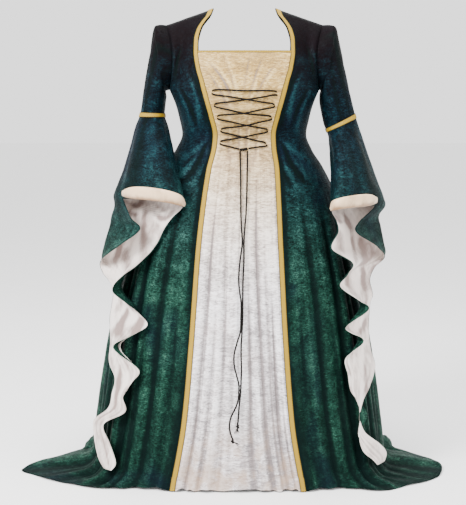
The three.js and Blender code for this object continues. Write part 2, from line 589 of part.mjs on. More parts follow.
const sleeveTurns = Array.from({ length: AROUND }, (_, i) => (i * 2 * Math.PI) / AROUND);
const tailColumns = [2, 1, 0, 15, 14, 13, 12, 11, 10, 9, 8];
const SLEEVE_CLEARANCE = 9;
const sleeves = {};
for (const [side, hand] of Object.entries(sides)) {
  const front = sideFrontGrid[side].slice(0, 9).map((row) => row[row.length - 1]);
  const back = sideBackGrid[side].slice(1, 8).map((row) => row[row.length - 1]).reverse();
  const rings = UPPER_SLEEVES[side].map((ring) => sleeveTurns.map((turn) => ringPoint(hand, ring, turn)));
  const upperGrid = [[...front, ...back], ...rings];
  const elbow = rings[rings.length - 1];
  const bellGrid = [
    elbow,
    ...BELLS[side].map((ring) => sleeveTurns.map((turn) => {
      return offSkirt(ringPoint(hand, ring, turn), SLEEVE_CLEARANCE);
    })),
    ...TAILS[side].map((level) => {
      const [edge, inner] = [level.edge, level.inner].map(([x, y]) => new THREE.Vector2(x, y));
      const line = inner.clone().sub(edge);
      const bow = new THREE.Vector2(line.y, -line.x).normalize().multiplyScalar(level.sag ?? 0);
      const fold = level.fold ?? edge.clone().addScaledVector(line, 0.33).add(bow).toArray();
      const back = level.back ?? edge.clone().addScaledVector(line, 0.67).add(bow).toArray();
      const corners = [level.edge, fold, back, level.inner].map(([x, y]) => {
        return toSide(hand, [x, y, level.z]);
      });
      const curve = new THREE.CatmullRomCurve3(corners);
      const row = Array(AROUND).fill(null);
      tailColumns.forEach((at, i) => {
        row[at] = offSkirt(curve.getPoint(i / (tailColumns.length - 1)), SLEEVE_CLEARANCE);
      });
      return row;
    }),
  ];
  const options = { loop: true, flip: hand < 0 };
  const mouth = BELLS[side].length;
  const tailTop = bellGrid[mouth].map((point, at) => (tailColumns.includes(at) ? point : null));
  const slanted = { ...options, slant: (r, c) => c >= INNER_COLUMN };
  sleeves[side] = {
    upperGrid,
    bellGrid,
    upper: surface(upperGrid, slanted),
    head: surface(upperGrid.slice(0, HEAD_ROWS), slanted),
    arm: surface(upperGrid.slice(HEAD_ROWS - 1), slanted),
    whole: surface(bellGrid, options),
    bell: surface(bellGrid.slice(0, mouth + 1), options),
    tail: surface([tailTop, ...bellGrid.slice(mouth + 1)], options),
  };
}

pool(frontPanel, centreBack);
for (const side of Object.keys(sides)) {
  pool(sideFront[side], sideBack[side], sleeves[side].upper, sleeves[side].whole);
}

add("front_panel", wall(frontPanel, VELVET_WALL), ivory);
add("centre_back_panel", wall(centreBack, VELVET_WALL), green);
for (const side of Object.keys(sides)) {
  add(`side_front_panel_${side}`, wall(sideFront[side], VELVET_WALL), green);
  add(`side_back_panel_${side}`, wall(sideBack[side], VELVET_WALL), green);
  add(`sleeve_head_${side}`, wall(sleeves[side].head, VELVET_WALL, { trim: HEAD_TRIM }), green);
  add(`upper_sleeve_${side}`, wall(sleeves[side].arm, VELVET_WALL), green);
  add(`bell_sleeve_${side}`, wall(sleeves[side].bell, VELVET_WALL), green);
  add(`sleeve_tail_${side}`, wall(sleeves[side].tail, VELVET_WALL), green);
  add(
    `bell_lining_${side}`,
    wall(sleeves[side].whole, LINING_WALL, { lift: -VELVET_WALL - LINING_GAP, trim: 1.5 }),
    ivory,
  );
}

// Trims follow the grid of the cloth under them, moved out by the gap and their own thickness.
function trimOver(grid, { thickness = BRAID_WALL, gap = LAYER_GAP, normals, ...options } = {}) {
  const strip = surface(grid, options);
  const ups = normals ? normals.flat() : undefined;
  return wall(strip, thickness, { lift: gap + thickness, normals: ups });
}
function alongSeam(grid, rows) {
  const share = BRAID_WIDTH / FLAT_EDGE;
  const used = grid.slice(0, rows);
  return {
    points: used.map((row) => [row[0], row[0].clone().lerp(row[1], share)]),
    normals: used.map((row) => [
      normalAt(row[0]),
      normalAt(row[0]).lerp(normalAt(row[1]), share).normalize(),
    ]),
  };
}
for (const [side, hand] of Object.entries(sides)) {
  const { upperGrid, bellGrid } = sleeves[side];
  const front = alongSeam(sideFrontGrid[side], sideFrontGrid[side].length);
  const back = alongSeam(sideBackGrid[side], 6);
  add(
    `front_braid_${side}`,
    trimOver(front.points, { gap: 0.8, normals: front.normals, flip: hand > 0 }),
    gold,
  );
  add(
    `back_neck_braid_${side}`,
    trimOver(back.points, { gap: 0.8, normals: back.normals, flip: hand < 0 }),
    gold,
  );
  const band = bellGrid.slice(4, 6).map((row) => row.slice(EDGE_COLUMN, INNER_COLUMN + 1));
  add(`cuff_${side}`, trimOver(band, { gap: 0.6, flip: hand < 0 }), ivory);
  const elbow = bellGrid[0];
  const near = (row, i) => {
    const share = BRAID_WIDTH / 2 / elbow[i].distanceTo(row[i]);
    return {
      point: elbow[i].clone().lerp(row[i], share),
      normal: normalAt(elbow[i]).lerp(normalAt(row[i]), share).normalize(),
    };
  };
  const above = elbow.map((_, i) => near(upperGrid[upperGrid.length - 2], i));
  const below = elbow.map((_, i) => near(bellGrid[1], i));
  add(
    `elbow_braid_${side}`,
    trimOver([above.map((p) => p.point), elbow, below.map((p) => p.point)], {
      gap: 1,
      normals: [above.map((p) => p.normal), elbow.map(normalAt), below.map((p) => p.normal)],
      loop: true,
      flip: hand < 0,
    }),
    gold,
  );
}
add("neck_edge_braid", trimOver(frontGrid.slice(0, 2), { gap: 0.6, flip: true }), gold);
add("back_neck_braid_centre", trimOver(centreBackGrid.slice(0, 2), { gap: 0.8 }), gold);

// The front of the ivory panel at a place, clear of its folds.
function frontDepth(x, z, clear) {
  const reach = 1 - (Math.abs(x) / body.side(z)) ** body.square(z);
  return -body.front(z) * reach ** (1 / body.square(z)) - foldDepth(z) * 0.72 - clear;
}
function cord(path, sidesAround, steps) {
  const profile = new THREE.Shape(Array.from({ length: sidesAround }, (_, i) => {
    const turn = (i * 2 * Math.PI) / sidesAround;
    return new THREE.Vector2(LACE_RADIUS * Math.cos(turn), LACE_RADIUS * Math.sin(turn));
  }));
  const curve = new THREE.CatmullRomCurve3(path);
  return new THREE.ExtrudeGeometry(profile, { steps, bevelEnabled: false, extrudePath: curve });
}
const LACE_CLEAR = LACE_RADIUS + 2.8;
for (const [name, rows] of Object.entries(LACES)) {
  const path = [];
  rows.forEach((row, i) => {
    const crossing = Math.abs(row.x) < 20 && i < rows.length - 1;
    const over = name === "a" && crossing ? 2 * LACE_RADIUS + 0.8 : 0;
    path.push(new THREE.Vector3(row.x, frontDepth(row.x, row.z, LACE_CLEAR + over), row.z));
    const next = rows[i + 1];
    if (next && Math.abs(next.x - row.x) > 50) {
      const [x, z] = [(row.x + next.x) / 2, (row.z + next.z) / 2];
      path.push(new THREE.Vector3(x, frontDepth(x, z, LACE_CLEAR), z));
    }
  });
  add(`lace_${name}`, cord(path, 5, 56), black);
}
const tie = new THREE.SphereGeometry(1, 10, 6);
tie.scale(TIE.wide, TIE.deep, TIE.tall);
const tieDepth = frontDepth(TIE.x, TIE.z, TIE.deep + 0.4);
tie.translate(TIE.x, tieDepth, TIE.z);
add("lace_tie", tie, black);
for (const [side, rows] of Object.entries(CORD_ENDS)) {
  const path = rows.map(({ x, z }) => new THREE.Vector3(x, frontDepth(x, z, LACE_RADIUS + 3), z));
  path[0].y = tieDepth;
  add(`cord_end_${side}`, cord(path, 8, 56), black);
  const end = path[path.length - 1];
  const knot = new THREE.SphereGeometry(1, 8, 6);
  knot.scale(KNOT.wide, KNOT.wide, KNOT.tall);
  knot.translate(end.x, end.y, end.z - KNOT.tall - 0.5);
  add(`cord_knot_${side}`, knot, black);
}

export default gown;
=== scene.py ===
"""A green velvet medieval gown with a laced ivory front, a train and lined bell sleeves.

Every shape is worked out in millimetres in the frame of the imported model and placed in
metres. The wearer's right is -X and the front faces -Y.
"""

import bisect
import logging
import math
from dataclasses import dataclass, field
from enum import Enum
from typing import Any, Callable, Iterable, Optional, Sequence

import bmesh
import bpy
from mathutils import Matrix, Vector, noise


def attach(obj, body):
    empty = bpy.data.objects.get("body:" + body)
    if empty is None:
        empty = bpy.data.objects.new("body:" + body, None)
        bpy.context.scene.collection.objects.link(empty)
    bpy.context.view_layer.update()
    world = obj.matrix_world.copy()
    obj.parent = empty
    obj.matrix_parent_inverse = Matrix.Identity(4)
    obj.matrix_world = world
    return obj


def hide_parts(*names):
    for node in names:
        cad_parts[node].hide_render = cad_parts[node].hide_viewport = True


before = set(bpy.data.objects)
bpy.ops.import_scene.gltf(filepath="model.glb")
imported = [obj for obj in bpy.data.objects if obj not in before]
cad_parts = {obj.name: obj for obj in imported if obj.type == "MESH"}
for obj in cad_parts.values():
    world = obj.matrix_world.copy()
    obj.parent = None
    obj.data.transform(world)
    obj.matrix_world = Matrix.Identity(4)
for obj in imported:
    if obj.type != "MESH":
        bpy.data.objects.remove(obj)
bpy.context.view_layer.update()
LOG = logging.getLogger("gown")

MM = 0.001
FLOOR = -1450.0
BUST_LEVEL = -255.0
BEND_HEIGHT = 42.0
HEM_LIFT = 2.3
TRAIN_CENTRE_Y = 40.0
BRAID_WIDTH = 16.0
FLAT_EDGE = 18.0
FLOOR_GAP = 0.0005
TURN = 2 * math.pi
RIDGE = "ridge"

Row = list[Optional[Vector]]
Edges = Sequence[tuple[Vector, Vector, Vector]]
Place = tuple[float, float]
Spot = tuple[float, float, float]
Tones = Sequence[Sequence[float]]
Colour = tuple[float, float, float]


class Side(Enum):
    """The wearer's two sides, with the direction of each along X."""

    RIGHT = -1
    LEFT = 1

    @property
    def label(self) -> str:
        """The side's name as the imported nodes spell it."""
        return self.name.lower()


class Slot(Enum):
    """The record's material slots."""

    GREEN = "green_velvet"
    IVORY = "ivory_velvet"
    SATIN = "ivory_satin"
    GOLD = "gold_braid"
    CORD = "black_cord"


def lerp(a: float, b: float, t: float) -> float:
    """The value a share t of the way from a to b."""
    return a + (b - a) * t


def clamp(t: float) -> float:
    """t kept between 0 and 1."""
    return min(1.0, max(0.0, t))


def smooth(t: float) -> float:
    """An eased step from 0 to 1."""
    t = clamp(t)
    return t * t * (3.0 - 2.0 * t)


def srgb(code: str) -> Colour:
    """A linear colour from its six-digit screen code.

    Args:
        code: red, green and blue as hexadecimal digits.

    Returns:
        The colour as three linear values.
    """
    values = [int(code[i : i + 2], 16) / 255 for i in (0, 2, 4)]
    red, green, blue = [v / 12.92 if v < 0.04045 else ((v + 0.055) / 1.055) ** 2.4 for v in values]
    return (red, green, blue)


class Profile:
    """A smooth curve through a table of places and values, with no overshoot."""

    def __init__(self, rows: Iterable[tuple[float, float]]) -> None:
        """Sorts the rows and works out the slope at each.

        Args:
            rows: pairs of place and value.
        """
        ordered = sorted(rows)
        self.places = [place for place, _ in ordered]
        self.values = [value for _, value in ordered]
        rises = [(b[1] - a[1]) / (b[0] - a[0]) for a, b in zip(ordered, ordered[1:])]
        inner = [0.0 if a * b <= 0 else 2 * a * b / (a + b) for a, b in zip(rises, rises[1:])]
        self.slopes = [rises[0], *inner, rises[-1]]

    def __call__(self, at: float) -> float:
        """The value at a place.

        Args:
            at: the place.

        Returns:
            The value there.
        """
        if at <= self.places[0]:
            return self.values[0]
        if at >= self.places[-1]:
            return self.values[-1]
        i = bisect.bisect_right(self.places, at) - 1
        span = self.places[i + 1] - self.places[i]
        t = (at - self.places[i]) / span
        return (
            (2 * t**3 - 3 * t**2 + 1) * self.values[i]
            + (t**3 - 2 * t**2 + t) * span * self.slopes[i]
            + (3 * t**2 - 2 * t**3) * self.values[i + 1]
            + (t**3 - t**2) * span * self.slopes[i + 1]
        )


def spline_point(before: Vector, a: Vector, b: Vector, after: Vector, t: float) -> Vector:
    """A point between a and b on a smooth curve through four points."""
    return 0.5 * (
        2 * a
        + (b - before) * t
        + (2 * before - 5 * a + 4 * b - after) * t * t
        + (3 * a - before - 3 * b + after) * t**3
    )


def spline(points: Sequence[Vector], steps: int, closed: bool = False) -> list[Vector]:
    """A smooth curve through points, with `steps` intervals between each two.

    Args:
        points: the points that the curve passes.
        steps: intervals from one point to the next.
        closed: whether the curve returns to its first point.

    Returns:
        The curve's points, the first one again at the end of a closed curve.
    """
    count = len(points)
    curve = []
    for i in range(count if closed else count - 1):
        if closed:
            near = [points[(i + k) % count] for k in (-1, 0, 1, 2)]
        else:
            a, b = points[i], points[i + 1]
            before = points[i - 1] if i else 2 * a - b
            after = points[i + 2] if i + 2 < count else 2 * b - a
            near = [before, a, b, after]
        curve += [spline_point(*near, step / steps) for step in range(steps)]
    curve.append(points[0].copy() if closed else points[-1].copy())
    return curve


def cord_curve(points: Sequence[Vector], steps: int) -> list[Vector]:
    """A centripetal curve through points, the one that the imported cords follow.

    Args:
        points: the points that the cord passes.
        steps: intervals from one point to the next.

    Returns:
        The curve's points.
    """
    curve = []
    for i in range(len(points) - 1):
        a, b = points[i], points[i + 1]
        before = points[i - 1] if i else 2 * a - b
        after = points[i + 2] if i + 2 < len(points) else 2 * b - a
        gaps = [max(1e-4, (q - p).length ** 0.5) for p, q in ((before, a), (a, b), (b, after))]
        near, gap, far = gaps
        start = ((a - before) / near - (b - before) / (near + gap) + (b - a) / gap) * gap
        end = ((b - a) / gap - (after - a) / (gap + far) + (after - b) / far) * gap
        for step in range(steps):
            t = step / steps
            curve.append(
                (2 * t**3 - 3 * t**2 + 1) * a + (t**3 - 2 * t**2 + t) * start
                + (3 * t**2 - 2 * t**3) * b + (t**3 - t**2) * end
            )
    curve.append(points[-1].copy())
    return curve


def ring_middle(ring: Row) -> Vector:
    """The middle of a ring of points whose last one repeats its first."""
    return sum(ring[:-1], Vector()) / (len(ring) - 1)


def close_ring(line: Row) -> None:
    """Puts a ring's last point back on its first, where the ring is a whole one."""
    if line[-1] is not None:
        line[-1] = line[0].copy()


def dent(point: Vector, wide: float, tall: float, finer: float, share: float = 0.5) -> float:
    """How far soft cloth is dented at a point, about -1 to 1.

    Args:
        point: the point.
        wide: how far apart the dents are across.
        tall: how far apart they are up and down.
        finer: how many times smaller the small dents on them are.
        share: how deep the small dents are.

    Returns:
        The height.
    """
    seat = Vector((point.x / wide, point.y / wide, point.z / tall))
    return noise.noise(seat) + share * noise.noise(seat * finer)


def grid_normals(rows: Sequence[Row], closed: bool = False) -> list[Row]:
    """The surface normals of a grid of points, as du x dv.

    Args:
        rows: the grid, where a missing point is None.
        closed: whether each full row is a ring whose last point repeats its first.

    Returns:
        A grid of normals with None where a point is missing.
    """
    found: list[Row] = []
    height, width = len(rows), len(rows[0])
    for j in range(height):
        line: Row = []
        for i in range(width):
            here = rows[j][i]
            if here is None:
                line.append(None)
                continue
            ring = closed and rows[j][-1] is not None
            left = rows[j][i - 1] if i else (rows[j][-2] if ring else None)
            right = rows[j][i + 1] if i + 1 < width else (rows[j][1] if ring else None)
            above = rows[j - 1][i] if j else None
            below = rows[j + 1][i] if j + 1 < height else None
            across = (right or here) - (left or here)
            down = (below or here) - (above or here)
            line.append(across.cross(down).normalized())
        found.append(line)
    return found


class Signal:
    """A value that varies over a surface, for use in arithmetic."""

    def __init__(self, tree: bpy.types.NodeTree, socket: bpy.types.NodeSocket) -> None:
        """Wraps the socket that gives the value."""
        self.tree = tree
        self.socket = socket

    def _math(self, operation: str, first: Any, second: Any) -> "Signal":
        """A Math node on two values."""
        node = self.tree.nodes.new("ShaderNodeMath")
        node.operation = operation
        for socket, value in zip(node.inputs, (first, second)):
            if isinstance(value, Signal):
                self.tree.links.new(value.socket, socket)
            else:
                socket.default_value = value
        return Signal(self.tree, node.outputs[0])

    def __add__(self, other: Any) -> "Signal":
        """The sum."""
        return self._math("ADD", self, other)

    def __sub__(self, other: Any) -> "Signal":
        """The difference."""
        return self._math("SUBTRACT", self, other)

    def __rsub__(self, other: Any) -> "Signal":
        """The difference, the other way round."""
        return self._math("SUBTRACT", other, self)

    def __mul__(self, other: Any) -> "Signal":
        """The product."""
        return self._math("MULTIPLY", self, other)

    def apply(self, operation: str, other: Any = 0.0) -> "Signal":
        """Any other Math operation."""
        return self._math(operation, self, other)

    def between(self, low: float, high: float) -> "Signal":
        """An eased 0 to 1 as the value goes from low to high."""
        node = self.tree.nodes.new("ShaderNodeMapRange")
        node.interpolation_type = "SMOOTHSTEP"
        self.tree.links.new(self.socket, node.inputs[0])
        node.inputs[1].default_value = low
        node.inputs[2].default_value = high
        return Signal(self.tree, node.outputs[0])


class Shader:
    """The nodes of one material, built in words."""

    def __init__(self, name: str) -> None:
        """Starts a material with its surface shader.

        Args:
            name: the material's name.
        """
        self.material = bpy.data.materials.new(name)
        self.material.use_nodes = True
        self.tree = self.material.node_tree
        self.surface = self.tree.nodes["Principled BSDF"]
        self.coords = self.tree.nodes.new("ShaderNodeTexCoord")

    def node(
        self,
        kind: str,
        settings: Optional[dict[str, Any]] = None,
        values: Optional[dict[Any, Any]] = None,
        out: Any = 0,
    ) -> Signal:
        """Adds a node.

        Args:
            kind: the node's type without its prefix.
            settings: attributes that are set first.
            values: numbers, colours or signals for its sockets, by name or place.
            out: the output to hand back.

        Returns:
            The chosen output.
        """
        node = self.tree.nodes.new("ShaderNode" + kind)
        for key, value in (settings or {}).items():
            setattr(node, key, value)
        for key, value in (values or {}).items():
            if isinstance(value, Signal):
                self.tree.links.new(value.socket, node.inputs[key])
            else:
                node.inputs[key].default_value = value
        return Signal(self.tree, node.outputs[out])

    def place(self, scale: Sequence[float] = (1, 1, 1), uv: bool = False) -> Signal:
        """Object coordinates in metres, or the piece's own UV, stretched by a scale."""
        source = Signal(self.tree, self.coords.outputs["UV" if uv else "Object"])
        return self.node("Mapping", None, {"Vector": source, "Scale": scale})

    def noise(self, place: Signal, scale: float, detail: float = 3.0, twist: float = 0.0) -> Signal:
        """Soft random cloud from 0 to 1."""
        values = {"Vector": place, "Scale": scale, "Detail": detail, "Distortion": twist}
        return self.node("TexNoise", None, values)

    def ridge(self) -> Signal:
        """The piece's own note of its folds, -1 in a valley to 1 on a ridge, from which the
        finishes paint shade and light.
        """
        return self.node("Attribute", {"attribute_name": RIDGE}, None, 2)

    def height(self) -> Signal:
        """The height in metres, from the Object coordinates."""
        source = Signal(self.tree, self.coords.outputs["Object"])
        return self.node("SeparateXYZ", None, {0: source}, 2)

    def mix(self, share: Signal, a: Any, b: Any) -> Signal:
        """A colour between two."""
        a, b = [(*c, 1.0) if isinstance(c, tuple) else c for c in (a, b)]
        return self.node("Mix", {"data_type": "RGBA"}, {0: share, 6: a, 7: b}, 2)

    def ramp(self, share: Signal, stops: Sequence[tuple[float, Colour]]) -> Signal:
        """A colour from a row of stops.

        Args:
            share: where along the row.
            stops: places and their colours.

        Returns:
            The colour there.
        """
        signal = self.node("ValToRGB", None, {0: share})
        band = signal.socket.node.color_ramp
        while len(band.elements) < len(stops):
            band.elements.new(0.5)
        for element, (at, colour) in zip(band.elements, stops):
            element.position = at
            element.color = (*colour, 1.0)
        return signal

    def feed(self, socket: str, value: Any) -> None:
        """Gives one of the surface shader's sockets a signal or a constant."""
        if isinstance(value, Signal):
            self.tree.links.new(value.socket, self.surface.inputs[socket])
        else:
            self.surface.inputs[socket].default_value = value

    def relief(self, height: Signal, depth: float, strength: float = 1.0) -> None:
        """Bumps the surface by a height signal, depth in metres."""
        values = {"Height": height, "Distance": depth, "Strength": strength}
        self.feed("Normal", self.node("Bump", None, values))


@dataclass(frozen=True)
class CrushedVelvet:
    """Panne velvet: a short pile pressed in every direction, so it catches light in flecks.

    The colour turns with height, darker up the bodice.
    Each palette runs from the pile seen end on to the pile lying flat.
    """

    name: str
    top: tuple[Colour, ...]
    low: tuple[Colour, ...]
    turn: tuple[float, float]
    stretch: tuple[float, float, float]
    shade: Colour
    shade_share: float
    sheen: float
    sheen_tint: Colour
    rough: tuple[float, float]
    # Painted shade: the colour that the fold valleys are darkened towards.
    valley: Colour
    peak: Colour
    peak_turn: tuple[float, float]
    peak_share: float = 0.8
    valley_shade_share: float = 0.8
    fold_light: float = 0.1
    hem: Optional[Colour] = None
    hem_turn: tuple[float, float] = (-1.2, -1.4)
    fleck_size: float = 0.011
    patch_size: float = 0.07
    contrast: tuple[float, float] = (0.36, 0.66)
    crease: float = 0.25
    gloss: float = 0.12
    sheen_rough: float = 0.35
    hem_tint_share: float = 0.7
    relief: float = 0.0016

    def build(self) -> bpy.types.Material:
        """Makes the material.

        Returns:
            The finished material.
        """
        shader = Shader(self.name)
        place = shader.place(self.stretch)
        fleck = shader.noise(place, 1 / self.fleck_size, 4.0, 1.3)
        fine = shader.noise(place, 3.2 / self.fleck_size, 2.0, 0.6)
        patch = shader.noise(shader.place(), 1 / self.patch_size, 3.0, 0.8)
        vein = shader.noise(place, 0.55 / self.fleck_size, 3.0, 2.2)
        mark = 1.0 - ((vein - 0.5).apply("ABSOLUTE") * 16.0).between(0.0, 1.0)
        ridge = shader.ridge()
        crush = fleck * 0.5 + patch * 0.3 + fine * 0.2 - mark * self.crease * 0.3
        # Painted light: the ridge tones lift the nap on the folds' ridges.
        nap = (crush + ridge * self.fold_light).between(*self.contrast)
        height = shader.height().between(self.turn[1], self.turn[0])
        places = [k / (len(self.top) - 1) for k in range(len(self.top))]
        upper = shader.ramp(nap, list(zip(places, self.top)))
        lower = shader.ramp(nap, list(zip(places, self.low)))
        colour = shader.mix(height, lower, upper)
        cloud = shader.noise(shader.place((1.0, 1.0, 0.6)), 5.5, 2.0, 0.4).between(0.5, 0.72)
        valley = (ridge * -1.0).between(0.0, 1.0)
        colour = shader.mix(cloud * self.shade_share, colour, self.shade)
        peak = (shader.height() + cloud * 0.08 - nap * 0.05).between(*self.peak_turn)
        colour = shader.mix(peak * self.peak_share, colour, self.peak)
        # Painted shade: the fold valleys are darkened towards the valley colour.
        colour = shader.mix(valley * self.valley_shade_share, colour, self.valley)
        # Patches of the hem colour, more of them lower down towards the hem.
        if self.hem:
            toward_hem = shader.height().between(self.hem_turn[1], self.hem_turn[0]) * -1.0 + 1.0
            colour = shader.mix(toward_hem * patch.between(0.42, 0.62) * self.hem_tint_share, colour, self.hem)
        shader.feed("Base Color", colour)
        shader.feed("Roughness", nap * (self.rough[0] - self.rough[1]) + self.rough[1])
        shader.feed("Sheen Weight", self.sheen)
        shader.feed("Sheen Roughness", self.sheen_rough)
        shader.feed("Sheen Tint", (*self.sheen_tint, 1.0))
        shader.feed("Specular IOR Level", self.gloss)
        shader.relief(fleck * 0.6 + fine * 0.2 - mark * 0.35, self.relief, 0.8)
        return shader.material


@dataclass(frozen=True)
class SatinLining:
    """The smooth side of the lining: soft gloss, faint creases and a pink-brown tone laid in random
    clouds and as painted shade in its folds.
    """

    name: str
    light: Colour
    shade: Colour
    sheen: float = 0.25
    gloss: float = 0.45
    relief: float = 0.0022

    def build(self) -> bpy.types.Material:
        """Makes the material.

        Returns:
            The finished material.
        """
        shader = Shader(self.name)
        cloud = shader.noise(shader.place((1.0, 1.0, 0.6)), 22.0, 3.0, 0.9)
        crease = shader.noise(shader.place((1.0, 1.0, 0.5)), 70.0, 4.0, 1.2)
        weave = shader.noise(shader.place((1.0, 1.0, 2.0)), 420.0, 2.0)
        folds = shader.ridge()
        # Painted shade and highlight: the fold tones darken the valleys and lighten the ridges.
        tone = (cloud * 0.6 + crease * 0.3 + folds * 0.3 + 0.07).between(0.2, 0.74)
        shader.feed("Base Color", shader.mix(tone, self.shade, self.light))
        shader.feed("Roughness", 0.5 - tone * 0.16)
        shader.feed("Sheen Weight", self.sheen)
        shader.feed("Specular IOR Level", self.gloss)
        shader.relief(crease * 0.8 + weave * 0.2, self.relief, 0.6)
        return shader.material


@dataclass(frozen=True)
class GoldBraid:
    """Woven gimp braid in gold thread, with its strands in the UV map."""

    name: str
    light: Colour
    deep: Colour
    pitch: float = 0.0052
    slant: float = 0.8
    gloss: float = 0.25
    relief: float = 0.0008

    def build(self) -> bpy.types.Material:
        """Makes the material.

        Returns:
            The finished material.
        """
        shader = Shader(self.name)
        uv = shader.place((1.0, 1.0, 1.0), uv=True)
        across = shader.node("SeparateXYZ", None, {0: uv}, 0)
        along = shader.node("SeparateXYZ", None, {0: uv}, 1)
        turns = TURN / self.pitch
        one = (along * turns + across * turns * self.slant).apply("SINE")
        other = (along * turns - across * turns * self.slant).apply("SINE")
        strand = one.apply("MAXIMUM", other) * 0.5 + 0.5
        thread = shader.noise(uv, 900.0, 2.0)
        worn = shader.noise(shader.place(), 34.0, 3.0)
        crown = shader.ridge()
        # Painted shade and highlight: the crown tone darkens the braid's edges and lightens its
        # middle.
        tone = (strand * 0.4 + thread * 0.2 + worn * 0.25 + crown * 0.5 + 0.05).between(0.1, 0.95)
        shader.feed("Base Color", shader.mix(tone, self.deep, self.light))
        shader.feed("Roughness", 0.6 - tone * 0.15)
        shader.feed("Specular IOR Level", self.gloss)
        shader.relief(strand * 0.8 + thread * 0.2, self.relief, 0.9)
        return shader.material


@dataclass(frozen=True)
class TwistedCord:
    """Round dark lacing cord with its twist in the UV map."""

    name: str
    light: Colour
    deep: Colour
    twist_along: float = 1500.0
    twist_across: float = 1300.0
    gloss: float = 0.12
    relief: float = 0.0005

    def build(self) -> bpy.types.Material:
        """Makes the material.

        Returns:
            The finished material.
        """
        shader = Shader(self.name)
        uv = shader.place(uv=True)
        across = shader.node("SeparateXYZ", None, {0: uv}, 0)
        along = shader.node("SeparateXYZ", None, {0: uv}, 1)
        winding = along * self.twist_along + across * self.twist_across
        twist = winding.apply("SINE") * 0.5 + 0.5
        fibre = shader.noise(uv, 1500.0, 2.0)
        shader.feed("Base Color", shader.mix(twist * 0.7 + fibre * 0.3, self.deep, self.light))
        shader.feed("Roughness", 0.8 - fibre * 0.25)
        shader.feed("Specular IOR Level", self.gloss)
        shader.relief(twist, self.relief, 0.8)
        return shader.material


@dataclass(frozen=True)
class StudioFloor:
    """The plain pale floor."""

    name: str = "pale_floor"
    colour: Colour = (0.92, 0.92, 0.915)
    grain_colour: Colour = (0.94, 0.94, 0.94)
    rough: float = 0.9
    gloss: float = 0.1

    def build(self) -> bpy.types.Material:
        """Makes the material.

        Returns:
            The finished material.
        """
        shader = Shader(self.name)
        grain = shader.noise(shader.place(), 6.0, 2.0)
        shader.feed("Base Color", shader.mix(grain, self.colour, self.grain_colour))
        shader.feed("Roughness", self.rough)
        shader.feed("Specular IOR Level", self.gloss)
        return shader.material


class Wardrobe:
    """The finishes of the gown, one material each."""

    def __init__(self) -> None:
        """Builds every material."""
        self.green = CrushedVelvet(
            "green_crushed_velvet",
            top=(srgb("040506"), srgb("06121a"), srgb("0c232b"), srgb("1a3d42")),
            low=(srgb("05130f"), srgb("0f2b23"), srgb("204336"), srgb("426859")),
            turn=(-0.38, -1.0),
            stretch=(0.75, 0.75, 2.0),
            shade=srgb("0b0c24"),
            shade_share=0.5,
            sheen=0.02,
            sheen_tint=srgb("4f9a86"),
            rough=(0.36, 0.62),
            gloss=0.03,
            valley=srgb("04100f"),
            peak=srgb("0b0406"),
            peak_turn=(-0.36, -0.1),
            peak_share=0.93,
            valley_shade_share=0.85,
            fleck_size=0.0075,
            patch_size=0.045,
            contrast=(0.3, 0.72),
            crease=0.6,
        ).build()
        self.ivory = CrushedVelvet(
            "ivory_crushed_velvet",
            top=(srgb("6b5028"), srgb("8f7139"), srgb("ab8a4d"), srgb("cfb37c")),
            low=(srgb("6b676b"), srgb("a39c9d"), srgb("d0cacb"), srgb("f4f1f3")),
            turn=(-0.3, -0.95),
            stretch=(0.8, 0.8, 3.0),
            shade=srgb("c0a79c"),
            shade_share=0.3,
            sheen=0.15,
            sheen_tint=srgb("ffffff"),
            rough=(0.3, 0.5),
            valley=srgb("7c7170"),
            peak=srgb("a98d55"),
            peak_turn=(-0.21, -0.12),
            peak_share=0.6,
            valley_shade_share=0.75,
            fold_light=0.12,
            hem=srgb("a58b76"),
            fleck_size=0.02,
            contrast=(0.24, 0.66),
            crease=0.3,
            gloss=0.35,
        ).build()
        self.satin = SatinLining("ivory_satin_lining", srgb("e6dad2"), srgb("84706a")).build()
        self.cuff = SatinLining("ivory_cuff", srgb("dfbf98"), srgb("8c6a48")).build()
        self.gold = GoldBraid("gold_gimp_braid", srgb("957710"), srgb("2c2104")).build()
        self.cord = TwistedCord("black_lacing", srgb("120d0a"), srgb("030202")).build()


@dataclass(frozen=True)
class Level:
    """One level section of the body: an oval that may hang off centre."""

    side: float
    front: float
    back: float
    square: float
    sway: float


